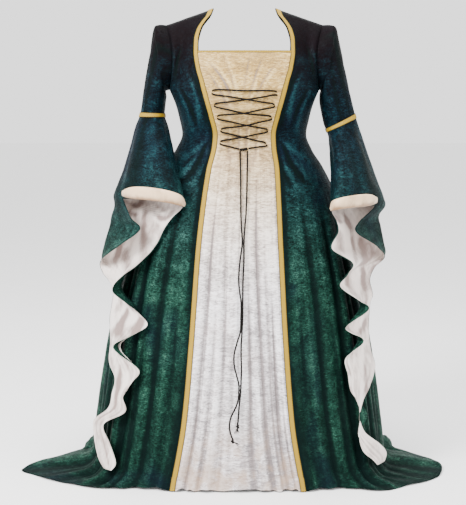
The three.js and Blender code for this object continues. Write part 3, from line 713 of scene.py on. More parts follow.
@dataclass
class BodyShape:
    """The smooth form of the gown's body, from its level sections, seams and hem."""

    sections: tuple[tuple[float, ...], ...] = (
        # z, side, front, back, square, sway
        (-255, 238, 150, 116, 2.3, 0), (-300, 219, 156, 110, 2.3, 0),
        (-345, 207, 143, 105, 2.3, 0), (-395, 198, 130, 103, 2.3, 0),
        (-440, 215, 139, 114, 2.3, -1), (-500, 255, 160, 144, 2.3, -4),
        (-600, 306, 197, 198, 2.3, -9), (-750, 352, 243, 262, 2.35, -14),
        (-950, 402, 290, 330, 2.45, -16), (-1150, 438, 333, 388, 2.6, -17),
        (-1350, 464, 369, 430, 2.9, -18), (-1450, 474, 384, 446, 3.1, -18),
    )
    front_seam: tuple[tuple[float, float], ...] = (
        (0, 97), (-20, 104), (-40, 119), (-66, 134), (-100, 142), (-136, 143), (-188, 136),
        (-228, 124), (-283, 109), (-338, 94), (-396, 82), (-430, 84), (-500, 97), (-720, 116),
        (-1000, 133), (-1245, 153), (-1450, 188),
    )
    back_seam: tuple[tuple[float, float], ...] = (
        (0, 97), (-20, 106), (-60, 136), (-110, 148), (-150, 148), (-255, 132), (-396, 80),
        (-500, 100), (-750, 138), (-1100, 190), (-1450, 245),
    )
    fold_depths: tuple[tuple[float, float], ...] = (
        (-400, 0), (-500, 3), (-700, 8), (-1000, 14), (-1300, 20), (-1450, 22),
    )
    right_hem: tuple[tuple[float, float], ...] = (
        (0, 428), (28, 478), (41, 549), (48.5, 588), (55.4, 624), (61.5, 664), (67, 692),
        (71.5, 722), (75, 690), (80, 610), (84.5, 562), (90, 530), (110, 545), (130, 590),
        (150, 650), (180, 700),
    )
    left_hem: tuple[tuple[float, float], ...] = (
        (0, 428), (28, 478), (41, 544), (49, 606), (55, 626), (61.8, 664), (67.6, 682),
        (73, 678), (78, 645), (83, 600), (87, 560), (92, 530), (110, 545), (130, 590),
        (150, 650), (180, 700),
    )
    neck: Vector = field(default_factory=lambda: Vector((97, 12, 0)))
    shoulder: Vector = field(default_factory=lambda: Vector((247, 8, -52)))
    armhole_depth: float = 66.0
    armhole_inset: float = 18.0
    bend: float = 0.3
    bend_swell: float = 12.0
    lying_reach: tuple[float, float] = (15, 60)
    front_fold_share: float = 0.72
    side_fold_share: float = 0.7

    def __post_init__(self) -> None:
        """Turns the tables into smooth curves."""
        heights = [row[0] for row in self.sections]
        columns = list(zip(*self.sections))[1:]
        self._columns = [Profile(zip(heights, column)) for column in columns]
        self._front = Profile(self.front_seam)
        self._back = Profile(self.back_seam)
        self._hems = {Side.RIGHT: Profile(self.right_hem), Side.LEFT: Profile(self.left_hem)}
        self.fold_depth = Profile(self.fold_depths)
        self._levels: dict[float, Level] = {}

    def level(self, z: float) -> Level:
        """The section at a height."""
        if z not in self._levels:
            self._levels[z] = Level(*(column(z) for column in self._columns))
        return self._levels[z]

    def seam(self, z: float, behind: bool) -> float:
        """How far a long seam lies from the middle."""
        return self._back(z) if behind else self._front(z)

    def seam_turn(self, z: float, behind: bool) -> float:
        """The turn from straight ahead at which a long seam lies."""
        level = self.level(z)
        turn = math.asin(min(1.0, self.seam(z, behind) / level.side) ** (level.square / 2))
        return math.pi - turn if behind else turn

    def on_level(self, z: float, turn: float, side: Side) -> Vector:
        """A point of a level section.

        Args:
            z: the height.
            turn: 0 straight ahead, pi straight behind.
            side: which half.

        Returns:
            The point.
        """
        level = self.level(z)
        power = 2 / level.square
        sine, cosine = math.sin(turn), math.cos(turn)
        depth = -level.front if cosine > 0 else level.back
        x = side.value * level.side * abs(sine) ** power + level.sway
        return Vector((x, depth * abs(cosine) ** power, z))

    def outward(self, z: float, turn: float, side: Side) -> Vector:
        """The level way out of the section at a turn."""
        near = [self.on_level(z, turn + step, side) for step in (-0.01, 0.01)]
        across, ahead = near[1].y - near[0].y, near[1].x - near[0].x
        return Vector((side.value * across, -side.value * ahead, 0)).normalized()

    def reach(self, turn: float, side: Side) -> tuple[Vector, Vector, float, float]:
        """How the skirt meets the floor at a turn.

        Args:
            turn: the turn from straight ahead.
            side: which half.

        Returns:
            The train's centre, the way out from it, where the skirt lands and where the hem is.
        """
        foot = self.on_level(FLOOR, turn, side)
        centre = Vector((self.level(FLOOR).sway, TRAIN_CENTRE_Y, FLOOR))
        out = Vector((foot.x - centre.x, foot.y - centre.y, 0))
        contact = out.length
        out.normalize()
        degrees = math.degrees(math.atan2(side.value * out.x, -out.y))
        return centre, out, contact, self._hems[side](degrees)

    def on_floor(self, turn: float, side: Side, share: float) -> Vector:
        """A point from the skirt's bend (share 0) to the hem (share 1).

        Args:
            turn: the turn from straight ahead.
            side: the half of the gown.
            share: the share of the way.

        Returns:
            The point.
        """
        top = self.on_level(FLOOR + BEND_HEIGHT, turn, side)
        foot = self.on_level(FLOOR, turn, side)
        centre, out, contact, reach = self.reach(turn, side)
        least, eased = self.lying_reach
        lying = smooth((reach - contact - least) / eased)
        hanging = top.lerp(foot, share)
        hanging.z = FLOOR + lerp(BEND_HEIGHT, HEM_LIFT, share)
        flat = (share - self.bend) / (1 - self.bend)
        corner = contact + BEND_HEIGHT * 0.8
        quarter = clamp(share / self.bend) * math.pi / 2
        if share < self.bend:
            radius = lerp(contact, corner, 1 - math.cos(quarter))
            height = lerp(BEND_HEIGHT, HEM_LIFT + self.bend_swell, math.sin(quarter))
        else:
            radius = lerp(corner, max(reach, corner + 5), flat)
            height = HEM_LIFT + self.bend_swell * (1 - smooth(flat) * 0.7)
        laid = centre + out * radius
        laid.z = FLOOR + height
        start = smooth(share / 0.12)
        laid = top.lerp(laid, start)
        return hanging.lerp(laid, lying)

    def armhole(self, share: float, behind: bool) -> Vector:
        """The armhole edge from the shoulder (0) to the underarm (1)."""
        swell = math.sin(math.pi * share)
        depth = (1 if behind else -1) * self.armhole_depth * max(0.0, swell) ** 0.8
        x = lerp(self.shoulder.x, self.level(BUST_LEVEL).side, share) - self.armhole_inset * swell
        y = lerp(self.shoulder.y, 0, share) + depth
        return Vector((x, y, lerp(self.shoulder.z, BUST_LEVEL, share)))

    def on_yoke(self, share: float, turn: float, side: Side, behind: bool, spread: float) -> Vector:
        """A point between the shoulder (share 0) and the bust (share 1).

        Args:
            share: how far down.
            turn: the turn at bust level.
            side: which half.
            behind: whether it is on the back.
            spread: the share of the way from the long seam to the armhole.

        Returns:
            The point.
        """
        level = self.level(BUST_LEVEL)
        low = self.on_level(BUST_LEVEL, turn, side)
        edge = self.seam(BUST_LEVEL, behind)
        within = min(1.0, abs(low.x) / edge)
        reached = clamp((abs(low.x) - edge) / (level.side - edge))
        across = lerp(spread, reached, share**3)
        low_x = abs(low.x) if within < 1 else lerp(edge, level.side, across)
        depth = level.back if behind else level.front
        low_y = depth * max(0.0, 1 - (low_x / level.side) ** level.square) ** (1 / level.square)
        neck_z = lerp(self.neck.z, BUST_LEVEL, share)
        hole = self.armhole(share, behind)
        forward = 0.6 * math.sqrt(max(0.0, 1 - (1 - share) ** 2)) + 0.4 * share
        start = lerp(0.5, 0.9, share**3)
        flat = lerp(lerp(self.neck.y, self.shoulder.y, across), 0, forward)
        arm = abs(hole.y - flat) * smooth((across - start) / (1 - start))
        swell = ((low_y * forward) ** 1.7 + arm**1.7) ** (1 / 1.7)
        return Vector((
            side.value * within * lerp(self.seam(neck_z, behind), hole.x, across),
            flat + (swell if behind else -swell),
            lerp(neck_z, hole.z, across),
        ))

    def front_depth(self, x: float, z: float, clear: float) -> float:
        """The Y of the ivory panel's face at a place, less a clearance."""
        level = self.level(z)
        share = 1 - (abs(x) / level.side) ** level.square
        folds = self.fold_depth(z) * self.front_fold_share
        return -level.front * share ** (1 / level.square) - folds - clear

    def off_skirt(self, point: Vector, gap: float) -> Vector:
        """The point, or one straight in front of it that is clear of the skirt."""
        level = self.level(point.z)
        room = gap + self.fold_depth(point.z) * self.side_fold_share
        across = abs(point.x - level.sway) / (level.side + room)
        if point.y > 0 or across >= 1:
            return point
        limit = -(level.front + room) * (1 - across**level.square) ** (1 / level.square)
        return Vector((point.x, min(point.y, limit), point.z))


FOLD_CREST = 0.42
FOLD_ONSET = 340.0
FOLD_WAVE = 150.0


@dataclass(frozen=True)
class Groove:
    """The valley between two hanging folds of a panel."""

    at: float
    wide: float
    deep: float
    start: float
    drift: float = 0.0
    wander: float = 0.005
    phase: float = 0.0


@dataclass(frozen=True)
class Crease:
    """A crease that the pull of the bust or the waist draws into the cloth."""

    start: tuple[float, float]
    end: tuple[float, float]
    bow: float
    wide: float
    deep: float

    def height(self, x: float, z: float) -> float:
        """How far it lifts the cloth at a place, from -deep beside it to deep on it.

        Args:
            x: the place across.
            z: the place's height.

        Returns:
            The lift.
        """
        run = Vector(self.end) - Vector(self.start)
        length = run.length
        off = Vector((x, z)) - Vector(self.start)
        along = off.dot(run) / length**2
        if along < -0.05 or along > 1.05:
            return 0.0
        across = (off.x * run.y - off.y * run.x) / length - self.bow * 4 * along * (1 - along)
        fade = math.sin(math.pi * clamp(along)) ** 0.7
        wide = self.wide * (0.6 + 0.7 * along)
        beside = (across - 1.7 * wide) / wide
        ridge = math.exp(-((across / wide) ** 2)) - 0.8 * math.exp(-(beside**2))
        return self.deep * fade * ridge


def fold_height(grooves: Sequence[Groove], across: float, z: float, depth: float) -> float:
    """How far the folds stand out at one place of a panel.

    Args:
        grooves: the panel's valleys.
        across: the place across the panel, 0 to 1.
        z: the height.
        depth: the full fold depth at that height.

    Returns:
        The height, positive outwards.
    """
    fallen = 0.0
    for groove in grooves:
        begun = smooth((groove.start - z) / FOLD_ONSET)
        if begun <= 0:
            continue
        run = (groove.start - z) / (groove.start - FLOOR)
        wave = groove.wander * math.sin(z / FOLD_WAVE + groove.phase)
        middle = groove.at + groove.drift * run + wave
        off = abs(across - middle) / (groove.wide * (0.6 + 0.4 * run))
        fallen += begun * groove.deep * math.exp(-(off**1.5))
    return depth * (FOLD_CREST - fallen)


@dataclass
class Panel:
    """One cut piece of the gown's body, from its top edge to the hem."""

    name: str
    shape: BodyShape
    slot: Slot
    grooves: tuple[Groove, ...]
    behind: bool = False
    side: Optional[Side] = None
    top: float = 0.0
    columns: int = 96
    yoke_rows: int = 34
    skirt_rows: int = 150
    floor_rows: int = 26
    first: float = 0.1
    thickness: float = 1.3
    wrinkle: float = 0.9
    flat: tuple[float, float] = (0.5, 1.4)
    area: float = 0.5
    creases: tuple[Crease, ...] = ()
    creases_end: float = -560.0
    hem_wave: float = 7.0
    train_wave: float = 9.0
    train_start: float = 420.0

    def crease(self, point: Vector) -> float:
        """How far the creases lift the cloth at a point."""
        if not self.creases or point.z < self.creases_end:
            return 0.0
        x = abs(point.x) if self.side is not None else point.x
        return sum(crease.height(x, point.z) for crease in self.creases)

    def turn(self, across: float, z: float) -> tuple[float, Side]:
        """Where a place across the panel lies round the body, and on which half.

        Args:
            across: the place across the panel, 0 to 1.
            z: the place's height.

        Returns:
            The turn from straight ahead, and the half.
        """
        seam = self.shape.seam_turn(z, self.behind)
        if self.side is None:
            half = Side.RIGHT if across < 0.5 else Side.LEFT
            swing = abs(2 * across - 1)
            return (math.pi - swing * (math.pi - seam) if self.behind else swing * seam), half
        a = self.shape.on_level(z, seam, Side.LEFT)
        b = self.shape.on_level(z, lerp(seam, math.pi / 2, 0.1), Side.LEFT)
        flat = 0.1 * FLAT_EDGE / (a - b).length
        if across <= self.first:
            share = flat * across / self.first
        else:
            share = lerp(flat, 1, (across - self.first) / (1 - self.first))
        return lerp(seam, math.pi / 2, share), self.side

    def spread(self, across: float, z: float) -> float:
        """The share of the way from the long seam to the armhole."""
        if self.side is None:
            return 0.0
        flat = FLAT_EDGE / (self.shape.shoulder.x - 12 - self.shape.seam(z, self.behind))
        if across <= self.first:
            return flat * across / self.first
        return lerp(flat, 1, (across - self.first) / (1 - self.first))

    def on_yoke(self, across: float, share: float) -> Vector:
        """A point above the bust."""
        turn, half = self.turn(across, BUST_LEVEL)
        spread = self.spread(across, lerp(0, BUST_LEVEL, share))
        return self.shape.on_yoke(share, turn, half, self.behind, spread)

    def window(self, across: float) -> float:
        """1 across the panel, easing to 0 at its seams, where the folds die out."""
        if self.side is None:
            return smooth(across / 0.05) * smooth((1 - across) / 0.05)
        return smooth((across - self.first * 0.8) / 0.08) * smooth((1 - across) / 0.06)

    def on_skirt(self, across: float, z: float) -> Vector:
        """A point between the bust and the bend near the floor."""
        turn, half = self.turn(across, z)
        point = self.shape.on_level(z, turn, half)
        height = fold_height(self.grooves, across, z, self.shape.fold_depth(z))
        return point + self.shape.outward(z, turn, half) * height * self.window(across)

    def on_floor(self, across: float, share: float) -> Vector:
        """A point between the bend near the floor and the hem.

        Args:
            across: the place across the panel, 0 to 1.
            share: from 0 at the bend to 1 at the hem.

        Returns:
            The point.
        """
        turn, half = self.turn(across, FLOOR)
        point = self.shape.on_floor(turn, half, share)
        out = self.shape.outward(FLOOR, turn, half)
        foot = self.shape.on_level(FLOOR, turn, half)
        lies = (self.shape.on_floor(turn, half, 1) - foot).length
        lying = smooth(lies / 60)
        up = lying * smooth(share * 1.8)
        way = out.lerp(Vector((0, 0, 1)), up).normalized()
        height = fold_height(self.grooves, across, FLOOR, self.shape.fold_depth(FLOOR))
        point = point + way * height * self.window(across) * (1 - 0.35 * share)
        rise = 0.5 + noise.noise(Vector((across * 16, self.columns, 0.5)))
        lift = self.hem_wave * rise * share * (1 - lying) * self.window(across)
        point.z = max(point.z, FLOOR + HEM_LIFT) + lift
        return point

    def rows(self) -> list[Row]:
        """The panel's surface, row by row from its top edge to the hem.

        Returns:
            The rows of points.
        """
        places = [i / self.columns for i in range(self.columns + 1)]
        lowest = FLOOR + BEND_HEIGHT
        rows: list[Row] = []
        for j in range(self.yoke_rows):
            share = lerp(self.top, 1, j / self.yoke_rows)
            rows.append([self.on_yoke(place, share) for place in places])
        for j in range(self.skirt_rows):
            z = round(lerp(BUST_LEVEL, lowest, j / self.skirt_rows), 3)
            rows.append([self.on_skirt(place, z) for place in places])
        for j in range(self.floor_rows + 1):
            rows.append([self.on_floor(place, j / self.floor_rows) for place in places])
        return self.rumpled(rows, places)

    def tones(self, rows: Sequence[Row]) -> list[list[float]]:
        """The painted light and shade at every point of the rows, lit ridges and shaded valleys for
        the finish.

        Args:
            rows: the panel's rows.

        Returns:
            A tone for each point.
        """
        found = []
        for j, points in enumerate(rows):
            down = clamp((j - self.yoke_rows) / self.skirt_rows)
            z = lerp(BUST_LEVEL, FLOOR, down)
            depth = 1.25 * smooth((-430 - z) / 260)
            line = []
            for i in range(self.columns + 1):
                across = i / self.columns
                streak = noise.noise(Vector((across * 34, z / 420, 7.0 + self.columns)))
                fine = noise.noise(Vector((across * 90, z / 300, 3.0)))
                # Painted shade in the fold valleys and painted light on their ridges.
                folds = fold_height(self.grooves, across, z, depth) * self.window(across)
                # Painted sheen and shade in random vertical streaks, fainter up the bodice.
                painted_streaks = (0.5 * streak + 0.35 * fine) * lerp(0.35, 1, smooth((-330 - z) / 260))
                # Painted shade and light along the creases.
                line.append(folds + painted_streaks + 0.9 * self.crease(points[i]))
                # Painted shade on the cloth just beside the braid.
                if self.side is not None:
                    line[-1] -= 0.9 * (1 - smooth((across - self.first) / 0.06))
            found.append(line)
        return found

    def rut(self, point: Vector) -> float:
        """How far the train's own ripples lift the cloth where it lies on the floor."""
        lies = smooth((FLOOR + 60 - point.z) / 40)
        if lies <= 0:
            return 0.0
        turn = math.atan2(point.x, -point.y)
        out = math.hypot(point.x, point.y) / self.train_start
        ripple = noise.noise(Vector((turn * 6.5, out * 1.6, 4.0)))
        ripple += 0.4 * noise.noise(Vector((turn * 17, out * 3, 1.0)))
        return self.train_wave * lies * smooth((out - 0.85) / 0.4) * (ripple + 0.25)

    @property
    def facing(self) -> int:
        """1 where the grid's normals point away from the body, else -1."""
        half = self.side.value if self.side else 1
        return half if self.behind else -half

    def rumpled(self, rows: list[Row], places: Sequence[float]) -> list[Row]:
        """The rows with the small dents of soft cloth, which die out at the seams.

        Args:
            rows: the panel's rows, which change.
            places: the columns, from 0 to 1 across.

        Returns:
            The same rows.
        """
        for line, ups in zip(rows, grid_normals(rows)):
            for i, place in enumerate(places):
                edge = smooth(place / 0.06) * smooth((1 - place) / 0.06)
                if self.side is not None:
                    edge = smooth((place - self.first) / 0.05) * smooth((1 - place) / 0.06)
                point = line[i]
                dented = dent(point, 52, 90, 2.3) * self.wrinkle
                lift = dented + self.crease(point) + self.rut(point)
                point += ups[i] * lift * edge * self.facing
                point.z = max(point.z, FLOOR + HEM_LIFT)
        return rows


class Cloth:
    """Turns grids of points into meshes that ride on the gown's one body."""

    @staticmethod
    def sheet(name: str, rows: Sequence[Row], *, closed: bool = False, outward: bool = True,
              heart: Optional[Callable[[Vector], Vector]] = None,
              tones: Optional[Tones] = None) -> bpy.types.Object:
        """Makes a sheet from a grid of points in millimetres.

        Args:
            name: the piece's name.
            rows: the grid; missing points leave their faces out.
            closed: whether a full row is a ring whose last point repeats its first.
            outward: whether faces look away from the heart.
            heart: gives the inner point that a face should look away from.
            tones: for each point, -1 in a valley to 1 on a ridge; the finishes paint shade and
                light from it.

        Returns:
            The new object, with a UV map in metres.
        """
        height, width = len(rows) - 1, len(rows[0]) - 1
        mesh = bmesh.new()
        uv_layer = mesh.loops.layers.uv.new("UVMap")
        bmesh.ops.create_grid(mesh, x_segments=width, y_segments=height, size=1.0, calc_uvs=True)
        spans = Cloth.spans(rows)
        for face in mesh.faces:
            face.smooth = True
            for loop in face.loops:
                at = loop[uv_layer].uv
                at.x, at.y = at.x * spans[0], at.y * spans[1]
        absent = []
        ridge = mesh.verts.layers.float.new(RIDGE)
        for vertex in mesh.verts:
            i = round((vertex.co.x + 1) / 2 * width)
            j = height - round((vertex.co.y + 1) / 2 * height)
            point = rows[j][i]
            if point is None:
                absent.append(vertex)
            else:
                vertex.co = point * MM
                vertex[ridge] = tones[j][i] if tones else 0.0
        bmesh.ops.delete(mesh, geom=absent, context="VERTS")
        if closed:
            bmesh.ops.remove_doubles(mesh, verts=mesh.verts, dist=2e-6)
        mesh.normal_update()
        centre = heart or (lambda p: Vector((0, TRAIN_CENTRE_Y * MM * 0.3, p.z)))
        facing = 0.0
        for face in mesh.faces:
            middle = face.calc_center_median()
            facing += face.calc_area() * face.normal.dot((middle - centre(middle)).normalized())
        if (facing > 0) != outward:
            bmesh.ops.reverse_faces(mesh, faces=mesh.faces)
        return Cloth.add(f"{name}_soft", mesh)

    @staticmethod
    def spans(rows: Sequence[Row]) -> tuple[float, float]:
        """The grid's width and length in metres, along its longest full lines."""
        line = max(rows, key=lambda row: sum(p is not None for p in row))
        pairs = [(a, b) for a, b in zip(line, line[1:]) if a and b]
        column = [row[0] for row in rows if row[0]]
        wide = sum((b - a).length for a, b in pairs)
        long = sum((b - a).length for a, b in zip(column, column[1:]))
        return wide * MM, long * MM

    @staticmethod
    def add(name: str, mesh: bmesh.types.BMesh) -> bpy.types.Object:
        """Puts a finished mesh into the scene under a name."""
        data = bpy.data.meshes.new(name)
        mesh.to_mesh(data)
        mesh.free()
        piece = bpy.data.objects.new(name, data)
        bpy.context.scene.collection.objects.link(piece)
        return piece

    @staticmethod
    def thicken(piece: bpy.types.Object, thickness: float, offset: float = -1.0) -> None:
        """Gives a sheet its thickness in millimetres; offset -1 keeps its outer face."""
        wall = piece.modifiers.new("wall", "SOLIDIFY")
        wall.thickness = thickness * MM
        wall.offset = offset
        wall.use_rim = True

    @staticmethod
    def tube(name: str, path: Sequence[Vector], radius: float, *, around: int = 10,
             relief: float = 0.0, twist: float = 0.0) -> bpy.types.Object:
        """Makes a capped round cord along a path in millimetres.

        Args:
            name: the piece's name.
            path: the line of its centre.
            radius: its radius.
            around: how many points go round it.
            relief: how far its three strands stand out, as a share of the radius.
            twist: turns of the strands for each millimetre.

        Returns:
            The new object.
        """
        rows: list[Row] = []
        side = Vector((1, 0, 0))
        run = 0.0
        for k, point in enumerate(path):
            along = (path[min(k + 1, len(path) - 1)] - path[max(k - 1, 0)]).normalized()
            side = (side - along * side.dot(along)).normalized()
            up = along.cross(side)
            run += (point - path[k - 1]).length if k else 0.0
            ring: Row = []
            for i in range(around + 1):
                turn = TURN * (i % around) / around
                bulge = radius * (1 + relief * math.cos(3 * turn + twist * run * TURN))
                ring.append(point + (side * math.cos(turn) + up * math.sin(turn)) * bulge)
            rows.append(ring)
        piece = Cloth.sheet(name, rows, closed=True, heart=lambda p: p)
        mesh = bmesh.new()
        mesh.from_mesh(piece.data)
        bmesh.ops.holes_fill(mesh, edges=mesh.edges, sides=0)
        bmesh.ops.recalc_face_normals(mesh, faces=mesh.faces)
        mesh.to_mesh(piece.data)
        mesh.free()
        return piece

    @staticmethod
    def join(piece: bpy.types.Object, others: Sequence[bpy.types.Object]) -> None:
        """Merges other pieces into one and removes them."""
        mesh = bmesh.new()
        for part in (piece, *others):
            mesh.from_mesh(part.data)
        mesh.to_mesh(piece.data)
        mesh.free()
        for part in others:
            bpy.data.meshes.remove(part.data)

    @staticmethod
    def dress(piece: bpy.types.Object, material: bpy.types.Material, slot: Slot,
              *nodes: str) -> bpy.types.Object:
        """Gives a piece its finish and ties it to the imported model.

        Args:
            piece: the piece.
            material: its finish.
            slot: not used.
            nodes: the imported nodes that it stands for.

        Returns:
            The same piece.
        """
        piece.data.materials.append(material)
        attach(piece, "root")
        if nodes:
            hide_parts(*nodes)
        LOG.info("%s: %d faces", piece.name, len(piece.data.polygons))
        return piece


@dataclass
class Braid:
    """A woven gimp braid laid over a cloth edge, with a crown and scalloped sides."""

    name: str
    thickness: float = 1.5
    lift: float = 0.5
    crown: float = 0.7
    pitch: float = 5.2
    relief: float = 0.35
    scallop: float = 0.35
    strands: float = 1.5
    columns: int = 8

    def build(self, edges: Edges, material: bpy.types.Material,
              closed: bool = False) -> bpy.types.Object:
        """Makes the braid.

        Args:
            edges: for each step along it, its two sides and the way out of the cloth.
            material: its finish.
            closed: whether it meets its own start.

        Returns:
            The piece.
        """
        rows: list[Row] = []
        runs = [0.0]
        for (a, _, _), (b, _, _) in zip(edges, edges[1:]):
            runs.append(runs[-1] + (b - a).length)
        pitch = runs[-1] / round(runs[-1] / self.pitch) if closed else self.pitch
        # Tones of painted light on the braid's middle and painted shade at its edges.
        crown = [1 - 2 * abs(2 * i / self.columns - 1) ** 3 for i in range(self.columns + 1)]
        for run, (a, b, out) in zip(runs, edges):
            line: Row = []
            for i in range(self.columns + 1):
                across = i / self.columns
                round_off = 1 - (2 * across - 1) ** 4
                weave = math.sin(TURN * (run / pitch + across * self.strands))
                cross = math.sin(TURN * (run / pitch - across * self.strands))
                height = self.crown * round_off + self.relief * max(weave, cross) * round_off
                wave = self.scallop * math.sin(TURN * run / pitch) * (2 * across - 1)
                aside = (b - a).normalized() * wave
                line.append(a.lerp(b, across) + aside + out * (self.lift + height))
            rows.append(line)
        piece = Cloth.sheet(self.name, rows, closed=closed, heart=self.heart(edges),
                            tones=[crown] * len(rows))
        Cloth.thicken(piece, self.thickness * 0.6)
        return Cloth.dress(piece, material, Slot.GOLD, self.name)

    @staticmethod
    def heart(edges: Edges) -> Callable[[Vector], Vector]:
        """A function that gives the cloth side of the braid nearest to a point."""
        spots = [((a + b) / 2 * MM, out) for a, b, out in edges[:: max(1, len(edges) // 60)]]

        def behind(point: Vector) -> Vector:
            """The point moved into the cloth."""
            _, out = min(spots, key=lambda spot: (spot[0] - point).length_squared)
            return point - out

        return behind


class GownBody:
    """The six panels of the gown and the braids sewn along them."""

    FRONT = (
        Groove(0.17, 0.055, 1.0, -450, drift=-0.055, wander=0.006, phase=0.3),
        Groove(0.255, 0.04, 0.8, -780, drift=0.005, wander=0.007, phase=1.2),
        Groove(0.335, 0.05, 0.75, -500, drift=0.07, wander=0.006, phase=2.2),
        Groove(0.455, 0.035, 0.5, -900, drift=0.03, wander=0.004, phase=0.8),
        Groove(0.59, 0.045, 1.0, -700, drift=-0.01, wander=0.008, phase=1.9),
        Groove(0.69, 0.055, 1.15, -430, drift=0.025, wander=0.006, phase=2.9),
        Groove(0.79, 0.035, 0.6, -620, drift=0.02, wander=0.006, phase=0.6),
        Groove(0.87, 0.05, 1.1, -760, drift=0.0, wander=0.007, phase=1.4),
        Groove(0.935, 0.03, 0.7, -1000, drift=0.015, wander=0.004, phase=2.4),
    )
    SIDE_FRONT = (
        Groove(0.19, 0.045, 0.9, -700, drift=-0.02, wander=0.01, phase=0.4),
        Groove(0.27, 0.05, 1.1, -480, drift=0.02, wander=0.012, phase=1.1),
        Groove(0.36, 0.04, 0.8, -760, drift=0.03, wander=0.01, phase=2.0),
        Groove(0.46, 0.055, 1.25, -440, drift=0.02, wander=0.014, phase=0.2),
        Groove(0.57, 0.04, 0.8, -640, drift=0.035, wander=0.01, phase=1.6),
        Groove(0.66, 0.055, 1.2, -500, drift=0.025, wander=0.012, phase=2.6),
        Groove(0.775, 0.045, 0.9, -720, drift=0.02, wander=0.008, phase=0.7),
        Groove(0.87, 0.05, 1.1, -560, drift=0.01, wander=0.008, phase=1.3),
    )
    SIDE_BACK = (
        Groove(0.2, 0.05, 0.9, -560, drift=0.0, wander=0.01, phase=1.4),
        Groove(0.32, 0.055, 1.2, -450, drift=0.01, wander=0.012, phase=0.5),
        Groove(0.44, 0.045, 0.9, -640, drift=0.01, wander=0.01, phase=2.1),
        Groove(0.56, 0.055, 1.2, -470, drift=0.01, wander=0.012, phase=1.0),
        Groove(0.69, 0.045, 0.95, -620, drift=0.0, wander=0.01, phase=2.7),
        Groove(0.82, 0.05, 1.1, -520, drift=0.0, wander=0.008, phase=0.2),
    )
    BACK = (
        Groove(0.09, 0.035, 0.9, -560, phase=0.3), Groove(0.2, 0.045, 1.15, -450, phase=1.3),
        Groove(0.32, 0.04, 1.0, -560, phase=2.3), Groove(0.44, 0.04, 1.2, -420, phase=0.9),
        Groove(0.56, 0.04, 1.2, -420, phase=1.7), Groove(0.68, 0.04, 1.0, -560, phase=0.5),
        Groove(0.8, 0.045, 1.15, -450, phase=2.5), Groove(0.91, 0.035, 0.9, -560, phase=1.1),
    )
    BUST_CREASES = (
        Crease((-118, -160), (-22, -300), -16, 5.5, 1.1),
        Crease((-122, -185), (-34, -330), -10, 4.5, 0.9),
        Crease((-60, -150), (-8, -330), -8, 5.0, 0.7), Crease((66, -150), (18, -320), 6, 5.0, 0.8),
        Crease((118, -165), (40, -310), 12, 5.5, 0.8), Crease((24, -140), (6, -290), 2, 4.5, 0.6),
        Crease((-14, -330), (-6, -470), 0, 4.0, 0.7), Crease((16, -320), (12, -500), 0, 4.5, 0.7),
        Crease((-46, -345), (-34, -500), 0, 5.0, 0.6), Crease((48, -350), (38, -520), 0, 5.0, 0.6),
    )
    WAIST_CREASES = (
        Crease((150, -150), (128, -330), 10, 9, 1.6), Crease((185, -190), (138, -380), 14, 9, 1.8),
        Crease((215, -240), (158, -400), 8, 8, 1.4), Crease((110, -400), (190, -470), 4, 8, 1.6),
        Crease((128, -425), (215, -540), 6, 9, 1.8), Crease((112, -455), (170, -560), 4, 8, 1.4),
        Crease((200, -110), (236, -235), -6, 8, 1.2),
    )
    FRONT_TOP = 0.533
    FRONT_EDGING = 0.557
    BACK_TOP = 0.588
    BACK_EDGING = 0.651

    def __init__(self, shape: BodyShape) -> None:
        """Lists the panels.

        Args:
            shape: the smooth form that they share.
        """
        self.shape = shape
        self.front = Panel("front_panel", shape, Slot.IVORY, self.FRONT, top=self.FRONT_TOP,
                           columns=130, yoke_rows=40, skirt_rows=210, flat=(0.42, 1.32), area=0.42,
                           creases=self.BUST_CREASES)
        self.back = Panel("centre_back_panel", shape, Slot.GREEN, self.BACK, behind=True,
                          top=self.BACK_TOP, columns=110, yoke_rows=16, flat=(0.8, 1.6), area=0.63)
        self.sides = [
            Panel(f"side_{place}_panel_{side.label}", shape, Slot.GREEN, grooves,
                  behind=place == "back", side=side, flat=(0.62, 1.6), area=0.57,
                  creases=self.WAIST_CREASES)
            for side in Side
            for place, grooves in (("front", self.SIDE_FRONT), ("back", self.SIDE_BACK))
        ]

    def build(self, wardrobe: Wardrobe) -> None:
        """Makes the panels with their braids."""
        finishes = {Slot.IVORY: wardrobe.ivory, Slot.GREEN: wardrobe.green}
        for panel in (self.front, self.back, *self.sides):
            rows = panel.rows()
            piece = Cloth.sheet(panel.name, rows, tones=panel.tones(rows))
            Cloth.thicken(piece, panel.thickness)
            Cloth.dress(piece, finishes[panel.slot], panel.slot, panel.name)
            trims = self.trims(panel, wardrobe.gold)

    def trims(self, panel: Panel, gold: bpy.types.Material) -> list[bpy.types.Object]:
        """The braids that are sewn to one panel.

        Args:
            panel: the panel.
            gold: the braid's finish.

        Returns:
            The braids.
        """
        if panel is self.front:
            edge = self.across_top(panel, self.FRONT_TOP, self.FRONT_EDGING)
            braid = Braid("neck_edge_braid", thickness=1.0, lift=0.5, crown=0.5, pitch=3.4,
                          relief=0.2, columns=4)
            return [braid.build(edge, gold)]
        if panel is self.back:
            edge = self.across_top(panel, self.BACK_TOP, self.BACK_EDGING)
            return [Braid("back_neck_braid_centre", lift=0.7).build(edge, gold)]
        if panel.behind:
            name = f"back_neck_braid_{panel.side.label}"
            return [Braid(name, lift=0.7).build(self.along_seam(panel, self.BACK_EDGING), gold)]
        name = f"front_braid_{panel.side.label}"
        return [Braid(name, lift=0.7).build(self.along_seam(panel, None), gold)]

